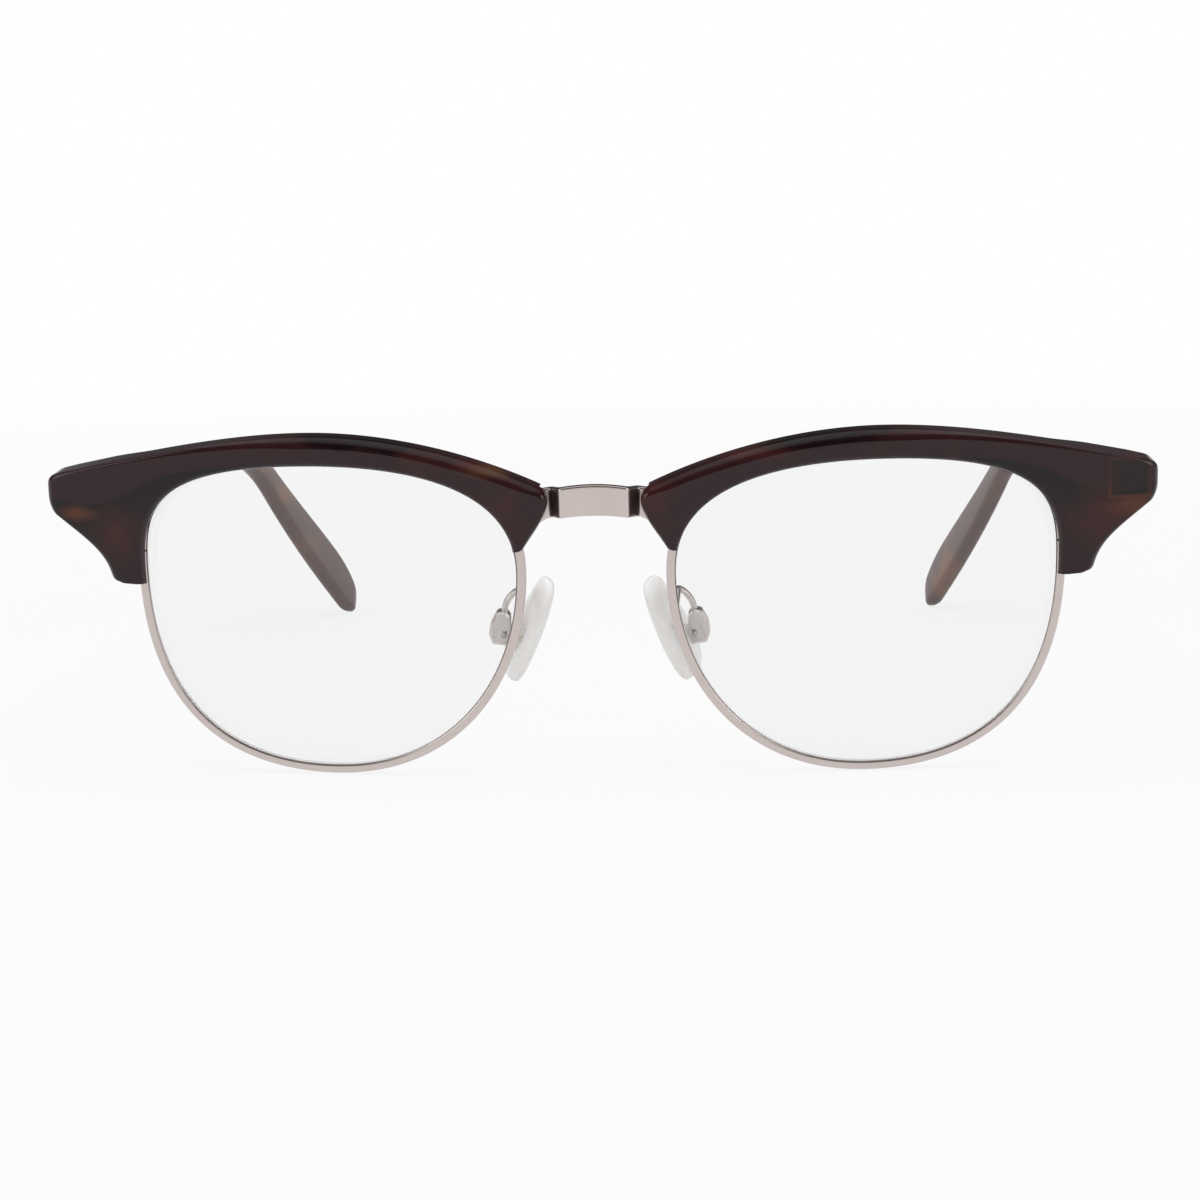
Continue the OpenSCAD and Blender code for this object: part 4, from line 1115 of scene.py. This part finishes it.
def temple_mid(s):
    a = temple_turn(s)
    tip = max(s - bend_end, 0)
    past = max(s - straight_l, 0) / (bend_l + tip_l)
    return V(face_out + TEMPLE_T / 2 - s * tan(TEMPLE_TOE) - TIP_IN * past ** TIP_IN_POWER,
             butt_y + min(s, straight_l) + BEND_R * sin(a) + tip * cos(a),
             -BEND_R * (1 - cos(a)) - tip * sin(a))


def top_change(s):
    """How much higher than the solid's the upper edge is: lower along the bar, higher on the paddle."""
    return PADDLE_MORE * ease(s, RISE_AT, PADDLE_AT) - TOP_CUT * hump(s, (0, CUT_L, straight_l, bend_end))


def temple_full(s):
    """The bar's height before its tip is trimmed."""
    before = lerp(TEMPLE_H, TEMPLE_WAIST, ease(s, 0, WAIST_AT))
    return before + (PADDLE_H - TEMPLE_WAIST) * ease(s, WAIST_AT, PADDLE_AT) + top_change(s)


def temple_high(s):
    """The bar's height: over the tip its upper edge curves down to the lower one."""
    f = min(max((s - total_l) / TIP_CURVE + 1, 0), 1)
    return temple_full(s) * lerp(TIP_LEFT, 1, superellipse(f))


def temple_thick(s):
    return lerp(TEMPLE_T, TIP_T, min(s / straight_l, 1))


def temple_ring(s, high, thick):
    """The section at a length s. Where the bar is cut lower, its middle drops and its foot stays."""
    centre, a = temple_mid(s), temple_turn(s)
    drop = (temple_full(s) - temple_high(s) - top_change(s)) / 2
    centre -= drop * V(0, sin(a), cos(a))
    r = min(CORNER, CORNER_SHARE * high, CORNER_SHARE * thick)
    ring = []
    for quarter in range(4):
        sx = 1 if quarter in (0, 3) else -1
        sz = 1 if quarter < 2 else -1
        for i in range(CORNER_STEPS + 1):
            phi = pi / 2 * (quarter + i / CORNER_STEPS)
            x = sx * (thick / 2 - r) + r * cos(phi)
            z = sz * (high / 2 - r) + r * sin(phi)
            ring.append(centre + V(x, z * sin(a), z * cos(a)))
    return ring


# %% Temple meshes
rings = []
for inset, rise in rounding(BUTT_STEPS):
    less = 2 * BUTT_ROUND * rise
    rings.append(temple_ring(BUTT_ROUND * inset, temple_high(0) - less, temple_thick(0) - less))
for start, end, steps in ((BUTT_ROUND, straight_l, BAR_STEPS), (straight_l, bend_end, BEND_STEPS),
                          (bend_end, total_l - ROUND_L, PADDLE_STEPS)):
    for i in range(1, steps + 1):
        s = lerp(start, end, i / steps)
        rings.append(temple_ring(s, temple_high(s), temple_thick(s)))
for i in range(1, TIP_STEPS + 1):
    f = sin(pi / 2 * i / (TIP_STEPS + 0.4))
    s = total_l - ROUND_L * (1 - f)
    rings.append(temple_ring(s, temple_high(s) * superellipse(f), temple_thick(s) * superellipse(f)))
leaf_slot = box_mesh((face_out - 1, 0, -LEAF_H / 2), (face_out + LEAF_T, TEMPLE_LEAF_L, LEAF_H / 2),
                     on_temple)
temple_mesh = cut(loft(rings, on_temple), [leaf_slot])
pair("temple_bar", temple_mesh, temple.material, "temple_{side}", "temple")

# %% [markdown]
# ## Pad arms, swept with the same idea
# A pad arm is a short round wire, soldered to the eyewire and bent into a hook that ends in the
# pad's box. The tree is the eyewire's in small: a path in, a round section of a named radius, a
# sweep, and the same two closing nodes.

# %% Pad arm tree
round_wire, given = new_group("round_wire", "GeometryNodeTree", [
    ("Path", GEOMETRY, None), ("Radius", FLOAT, 0.0004), ("Sides", INTEGER, 20), ("Metal", MATERIAL, None)],
    [("Wire", GEOMETRY)])
circle = round_wire.put("GeometryNodeCurvePrimitiveCircle", {
    "Resolution": given["Sides"], "Radius": given["Radius"]})[0]
swept = round_wire.put("GeometryNodeCurveToMesh", {
    "Curve": given["Path"], "Profile Curve": circle, "Fill Caps": True})[0]
close_tree(round_wire, swept, given["Metal"], "Wire")

# %% Pad arms
ARM_T, ARM_STEPS = 2.86, 26
arm_root = on_wire(edge(ARM_T, 0.15), WIRE_D)
arm_top = pad_screw_at + V(-2, -1, 6)
arm_end = pad_screw_at + V(0.1, 0, 2.8)
arm_curves = [[arm_root, arm_root + V(0, 1.2, 0), arm_top - V(0, 1.4, 0), arm_top],
              [arm_top, arm_top + V(0, 1.4, 0), arm_end + V(0, 0, 2), arm_end]]
points = [arm_root] + [bezier(curve, i / ARM_STEPS) for curve in arm_curves for i in range(1, ARM_STEPS + 1)]
arm_mesh = run_tree(round_wire, path_object([on_front(p) * MM for p in points]),
                    {"Radius": ARM_R * MM, "Metal": box_silver}, "arm")
pair("pad_wire", finish_mesh(arm_mesh), box_silver, "front", "pad_arm")

# %% [markdown]
# ## Small metal pieces with eased edges
# The hinges and the closing blocks are right as solids, but a real edge is never quite sharp, and
# the line of light along it is what makes it look like metal. A copy of each solid is merged and
# gets a narrow bevel. The copy replaces the node, which stays as it is.

# %% Eased copies
EASED_EDGE, EASED_ANGLE, EASED_SHARP = 0.06, radians(40), radians(50)


def eased_copy(node, side, body):
    """A copy of a CAD node with its flat faces joined and its edges bevelled."""
    name = node + "_" + side
    mesh = frame["nodes"][name].data.copy()
    work = new_object("work", finish_mesh(mesh, merge=2e-6, join_flat=True))
    bevel = work.modifiers.new("edges", "BEVEL")
    bevel.width = EASED_EDGE * MM
    bevel.segments = 2
    bevel.limit_method = "ANGLE"
    bevel.angle_limit = EASED_ANGLE
    eased = finish_mesh(applied(work, name), EASED_SHARP)
    dress(node + "." + side, eased, warm_silver, body, name)


for side in ("left", "right"):
    for node in ("lock_upper", "lock_lower", "front_hinge"):
        eased_copy(node, side, "front")
    eased_copy("temple_hinge", side, "temple_" + side)
print("eased copies of the small metal pieces made")

# %% [markdown]
# ## Pad boxes
# The box that holds a pad's lug is a small casting: a flat face with bevelled edges, a line scored
# across it, and a hollow that opens towards the nose. It is lofted from its outline, whose corners
# are eased first, and the hollow and the line are cut with booleans.

# %% Pad boxes
BOX_D, BOX_WALL, BOX_EDGE, BOX_CORNER, BOX_OPEN, HOLLOW_EDGE = 2.6, 0.4, 0.3, 0.3, 0.5, 0.05
BOX_OUTLINE = [V(-0.7, 2.4), V(-0.1, 3.2), V(1.1, 3.0), V(1.95, 1.5), V(2.2, 0.1), V(1.75, -1.35),
               V(-0.3, -1.65), V(-0.7, -0.6)]
SCORE_AT, SCORE_TURN = V(1.05, -BOX_D / 2, 0.75), radians(-22)
SCORE_HALF = V(0.1, 0.22, 1.3)


def eased_outline(corners, steps=5):
    """A closed outline with a short curve in place of each corner."""
    points = []
    for i, corner in enumerate(corners):
        before, after = corners[i - 1] - corner, corners[(i + 1) % len(corners)] - corner
        start = corner + before.normalized() * min(BOX_CORNER, CORNER_SHARE * before.length)
        end = corner + after.normalized() * min(BOX_CORNER, CORNER_SHARE * after.length)
        for j in range(steps + 1):
            f = j / steps
            points.append(start * (1 - f) ** 2 + corner * (2 * f * (1 - f)) + end * f ** 2)
    return points


def slab(outline, half_d, bevel, place):
    """A plate with that outline, its front and back rims bevelled."""
    count = len(outline)
    ways = [(outline[(i + 1) % count] - outline[i - 1]).normalized() for i in range(count)]
    rings = []
    for y, inset in ((-half_d, bevel), (bevel - half_d, 0), (half_d - bevel, 0), (half_d, bevel)):
        rings.append([V(p.x + inset * d.y, y, p.y - inset * d.x) for p, d in zip(outline, ways)])
    return loft(rings, place)


def at_screw(p):
    return on_front(pad_screw_at + Vector(p))


def at_score(p):
    return at_screw(SCORE_AT + Matrix.Rotation(SCORE_TURN, 3, "Y") @ Vector(p))


box_shape = eased_outline(BOX_OUTLINE)
hollow = [p - V(BOX_OPEN, 0) for p in box_shape]
pad_box_mesh = cut(slab(box_shape, BOX_D / 2, BOX_EDGE, at_screw), [
    slab(hollow, BOX_D / 2 - BOX_WALL, HOLLOW_EDGE, at_screw), box_mesh(-SCORE_HALF, SCORE_HALF, at_score)])
pair("pad_box", pad_box_mesh, box_silver, "front", "pad_box")

# %% [markdown]
# ## Screws, one tree for them all
# Every screw here is a shank with a low domed head and a slot, so one Geometry Nodes tree makes
# them, with the sizes as named inputs. The head is half of a flattened ball. A block cuts away
# everything of the ball that would reach below the head, and a thin one cuts the slot. The screw
# is then put on each vertex of the mesh that the modifier sits on.

# %% Screw tree
screw, given = new_group("slotted_screw", "GeometryNodeTree", [
    ("Places", GEOMETRY, None), ("Turn", VECTOR, None), ("Shank radius", FLOAT, 0.0005),
    ("Shank length", FLOAT, 0.003), ("Head radius", FLOAT, 0.0008), ("Head height", FLOAT, 0.0004),
    ("Slot width", FLOAT, 0.0002), ("Slot depth", FLOAT, 0.0001), ("Slot turn", FLOAT, 0.0),
    ("Metal", MATERIAL, None)], [("Screws", GEOMETRY)])


def moved(geometry, **how):
    return screw.put("GeometryNodeTransform", {"Geometry": geometry, **how})[0]


shank = screw.put("GeometryNodeMeshCylinder", {
    "Vertices": 24, "Radius": given["Shank radius"], "Depth": given["Shank length"]})["Mesh"]
ball = screw.put("GeometryNodeMeshUVSphere", {
    "Segments": 32, "Rings": 20, "Radius": given["Head radius"]})["Mesh"]
wide = screw.times(given["Head radius"], 3.0)
block = screw.put("GeometryNodeMeshCube", {"Size": screw.join(wide, wide, wide)})["Mesh"]
blade = screw.put("GeometryNodeMeshCube", {
    "Size": screw.join(wide, given["Slot width"], screw.times(given["Slot depth"], 2.0))})["Mesh"]
lowered = moved(shank, Translation=screw.join(z=screw.times(given["Shank length"], -0.5)))
dome = moved(ball, Scale=screw.join(1.0, 1.0, screw.over(given["Head height"], given["Head radius"])))
under = moved(block, Translation=screw.join(z=screw.times(wide, -0.5)))
raised = moved(blade, Translation=screw.join(z=given["Head height"]),
               Rotation=screw.join(z=given["Slot turn"]))
head = screw.put("GeometryNodeMeshBoolean", {"Mesh 1": dome, "Mesh 2": [under, raised]},
                 operation="DIFFERENCE", solver="EXACT")[0]
whole = screw.put("GeometryNodeMeshBoolean", {"Mesh 2": [lowered, head]},
                  operation="UNION", solver="EXACT")[0]
placed = screw.put("GeometryNodeInstanceOnPoints", {
    "Points": given["Places"], "Instance": whole, "Rotation": given["Turn"]})[0]
close_tree(screw, placed, given["Metal"], "Screws")

# %% Screws
FACING_FRONT, FACING_BACK, FACING_DOWN = pi / 2 + FRONT_TILT, -pi / 2 + FRONT_TILT, pi + FRONT_TILT
HINGE_HEAD_H = 0.45
SCREW_SHARP = radians(45)
brow_screw_at = V(nose_x + 3.1, BROW_SEAT + BRIDGE_T, BRIDGE_Z - 2.2)
lock_foot = lock_at - V(0, 0, LOCK_SLIT / 2 + LOCK_H)
low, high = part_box("hinge_screw_left")
stack = (high - low).z / MM - HINGE_HEAD_H
# Name, place and turn about X, and in mm the shank's radius and length, the head's radius and
# height, the slot's width and depth, and the slot's turn
SCREWS = [
    ("pad_screw", at_screw(V(0, -BOX_D / 2, 0)), FACING_FRONT,
     PAD_SCREW_R, BOX_D, 0.56, 0.30, 0.14, 0.12, radians(70)),
    ("brow_screw", on_front(brow_screw_at), FACING_BACK, 0.6, 2.9, 1.05, 0.5, 0.3, 0.25, radians(20)),
    ("lock_screw", on_front(lock_foot), FACING_DOWN, 0.55, 5.3, 0.85, 0.6, 0.25, 0.25, radians(35)),
    ("hinge_screw", on_temple(V(0, 0, stack / 2)), -TEMPLE_SLOPE,
     0.6, stack, KNUCKLE_R - 0.1, HINGE_HEAD_H, 0.3, 0.2, radians(50)),
]
for name, where, turn, shank_r, shank_l, head_r, head_h, slot_w, slot_d, slot_turn in SCREWS:
    made = run_tree(screw, new_object("place", new_mesh("place", [where * MM])), {
        "Turn": (turn, 0, 0), "Shank radius": shank_r * MM, "Shank length": shank_l * MM,
        "Head radius": head_r * MM, "Head height": head_h * MM, "Slot width": slot_w * MM,
        "Slot depth": slot_d * MM, "Slot turn": slot_turn, "Metal": screw_silver}, name)
    pair(name, finish_mesh(made, SCREW_SHARP), screw_silver, "front", name)

# %% [markdown]
# ## Nose pads
# A pad is a soft drop of silicone: oval, thin at the rim and fullest in the middle. Towards its
# foot it flares on the side away from the nose. Rings of an ellipse that grow and shrink along its
# length give the drop.

# %% Pad meshes
PAD_FLARE, FLARE_FROM, FLARE_TO = 0.55, 0.7, -0.4
PAD_TAPER, PAD_UP = 0.06, 0.35
WIDE_POWER, THICK_POWER = 0.55, 0.5
PAD_POINTS, PAD_RINGS = 40, 36
pad_turn = Matrix.Rotation(-PAD_LEAN, 3, "Y") @ Matrix.Rotation(-PAD_SPLAY, 3, "Z")


def on_pad(p):
    return on_front(pad_at + pad_turn @ Vector(p))


def pad_ring(f):
    """The section at a share f of the way from the middle: -1 at the foot, 1 at the top."""
    k = sqrt(max(1 - f * f, 0))
    half_w = PAD_W / 2 * k ** WIDE_POWER * (1 - PAD_TAPER * f)
    outer_w = half_w * (1 + PAD_FLARE * ease(f, FLARE_FROM, FLARE_TO))
    half_t = PAD_T / 2 * k ** THICK_POWER
    height = PAD_UP + f * (PAD_L / 2 - PAD_UP)
    turns = [2 * pi * i / PAD_POINTS for i in range(PAD_POINTS)]
    return [V(half_t * cos(a), (outer_w if sin(a) > 0 else half_w) * sin(a), height) for a in turns]


levels = [-cos(pi * (i + 0.35) / PAD_RINGS) for i in range(PAD_RINGS)]
pad_mesh = loft([pad_ring(f) for f in levels], on_pad)
for piece in pair("silicone_pad", pad_mesh, silicone.material, "pad_{side}", "nose_pad"):
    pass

# %% [markdown]
# ## Finishes for the solids
# The wires inside the temples and the plates inside the pads keep their own meshes and get a
# material. Every other solid gets a finish like that of the piece that stands in its place.

# %% Materials on the nodes
NODE_FINISH = {"brow": brow.material, "temple": temple.material, "lens": lens.material,
               "nose_pad": silicone.material, "pad_insert": pad_core.material, "core_wire": core_steel}
NODE_FINISH.update({name: screw_silver for name in ("brow_screw", "lock_screw", "hinge_screw", "pad_screw")})
for name, obj in frame["nodes"].items():
    obj.data.materials.clear()
    obj.data.materials.append(NODE_FINISH.get(name.rsplit("_", 1)[0], warm_silver))
print("finished nodes", len(frame["nodes"]))

# %% [markdown]
# ## Floor, light and background
# The photograph was taken on white. The floor is a plain pale sheet that still takes the shadow:
# for the camera, mirrors and lenses most of its white is its own glow, and the rest takes light
# and shadow, so the shadow stays soft. It glows a little more further off, which hides its edge.

# %% Floor
FLOOR_HALF, FLOOR_Z = 6.0, -0.0002
GLOW_NEAR, GLOW_FAR, NEAR_SHARE = 0.12, 0.7, 0.87
table = Finish("floor_white")
table.set({"Base Color": (0.62, 0.62, 0.62, 1), "Roughness": 0.9, "Specular IOR Level": 0.0})
path = table.put("ShaderNodeLightPath")
seen = table.number("MAXIMUM", path["Is Camera Ray"],
                    table.number("MAXIMUM", path["Is Glossy Ray"], path["Is Transmission Ray"]))
glow = table.put("ShaderNodeEmission", {"Color": (1, 1, 1, 1), "Strength": 1.0})[0]
share = table.times(seen, table.remap(table.length(table.place), GLOW_NEAR, GLOW_FAR, NEAR_SHARE, 1.0))
table.fill(table.end, {"Surface": table.mix_shaders(share, table.shader.outputs[0], glow)})
corners = [(-FLOOR_HALF, -FLOOR_HALF, 0), (FLOOR_HALF, -FLOOR_HALF, 0),
           (FLOOR_HALF, FLOOR_HALF, 0), (-FLOOR_HALF, FLOOR_HALF, 0)]
floor_obj = new_object("floor", new_mesh("floor", corners, [(0, 1, 2, 3)]), table.material)
floor_obj.location.z = FLOOR_Z
print("floor at", FLOOR_Z)

# %% [markdown]
# ## World
# The world is plain white to the camera and through the lenses, and lights the object evenly at a
# lower level. A polished brow mirrors its surroundings, and in a studio those are dark above the
# white table with one lamp overhead. So for mirrored rays the white fades to dark a little above
# the horizon and comes back near the zenith, by the ray's direction in the world.

# %% World light
AMBIENT = 0.45
CEILING_FROM, CEILING_TO, CEILING_LEVEL = 0.03, 0.17, 0.05
ZENITH_FROM, ZENITH_LEVEL = 0.72, 0.95
world = bpy.data.worlds.new("studio")
bpy.context.scene.world = world
world.use_nodes = True
studio = Tree(world.node_tree, world.node_tree.nodes["Background"])
path = studio.put("ShaderNodeLightPath")
seen = studio.number("MAXIMUM", path["Is Camera Ray"], path["Is Transmission Ray"])
height = studio.split(studio.put("ShaderNodeTexCoord")["Generated"])["Z"]
ceiling = studio.remap(height, CEILING_FROM, CEILING_TO, 1.0, CEILING_LEVEL, curve="SMOOTHSTEP")
zenith = studio.remap(height, ZENITH_FROM, 1.0, 0.0, ZENITH_LEVEL, curve="SMOOTHSTEP")
level = studio.plus(AMBIENT, studio.times(seen, 1.0 - AMBIENT))
strength = studio.put("ShaderNodeMix", {
    0: path["Is Glossy Ray"], 2: level, 3: studio.number("MAXIMUM", ceiling, zenith)})[0]
studio.fill(studio.end, {"Color": (1, 1, 1, 1), "Strength": strength})
print("world", world.name)

# %% [markdown]
# ## Lamps
# A wide soft lamp hangs overhead, and a smaller one stands on each side. The overhead lamp isn't
# mirrored, because its sharp outline would show in the polished brows.

# %% Lamps


def softbox(name, place, aim, size, power):
    """A square lamp at a place in metres, turned to face a point."""
    data = bpy.data.lights.new(name, "AREA")
    data.shape = "RECTANGLE"
    data.size, data.size_y = size
    data.energy = power
    lamp = new_object(name, data)
    lamp.location = place
    lamp.rotation_euler = (Vector(aim) - Vector(place)).to_track_quat("-Z", "Y").to_euler()
    return lamp


overhead = softbox("overhead", (0, -0.15, 0.75), (0, -0.04, 0), (0.9, 0.7), 5.0)
overhead.visible_glossy = False
for side, x in (("side_left", -0.8), ("side_right", 0.8)):
    softbox(side, (x, -0.5, 0.4), (0, 0, 0.02), (0.5, 0.5), 2.2)
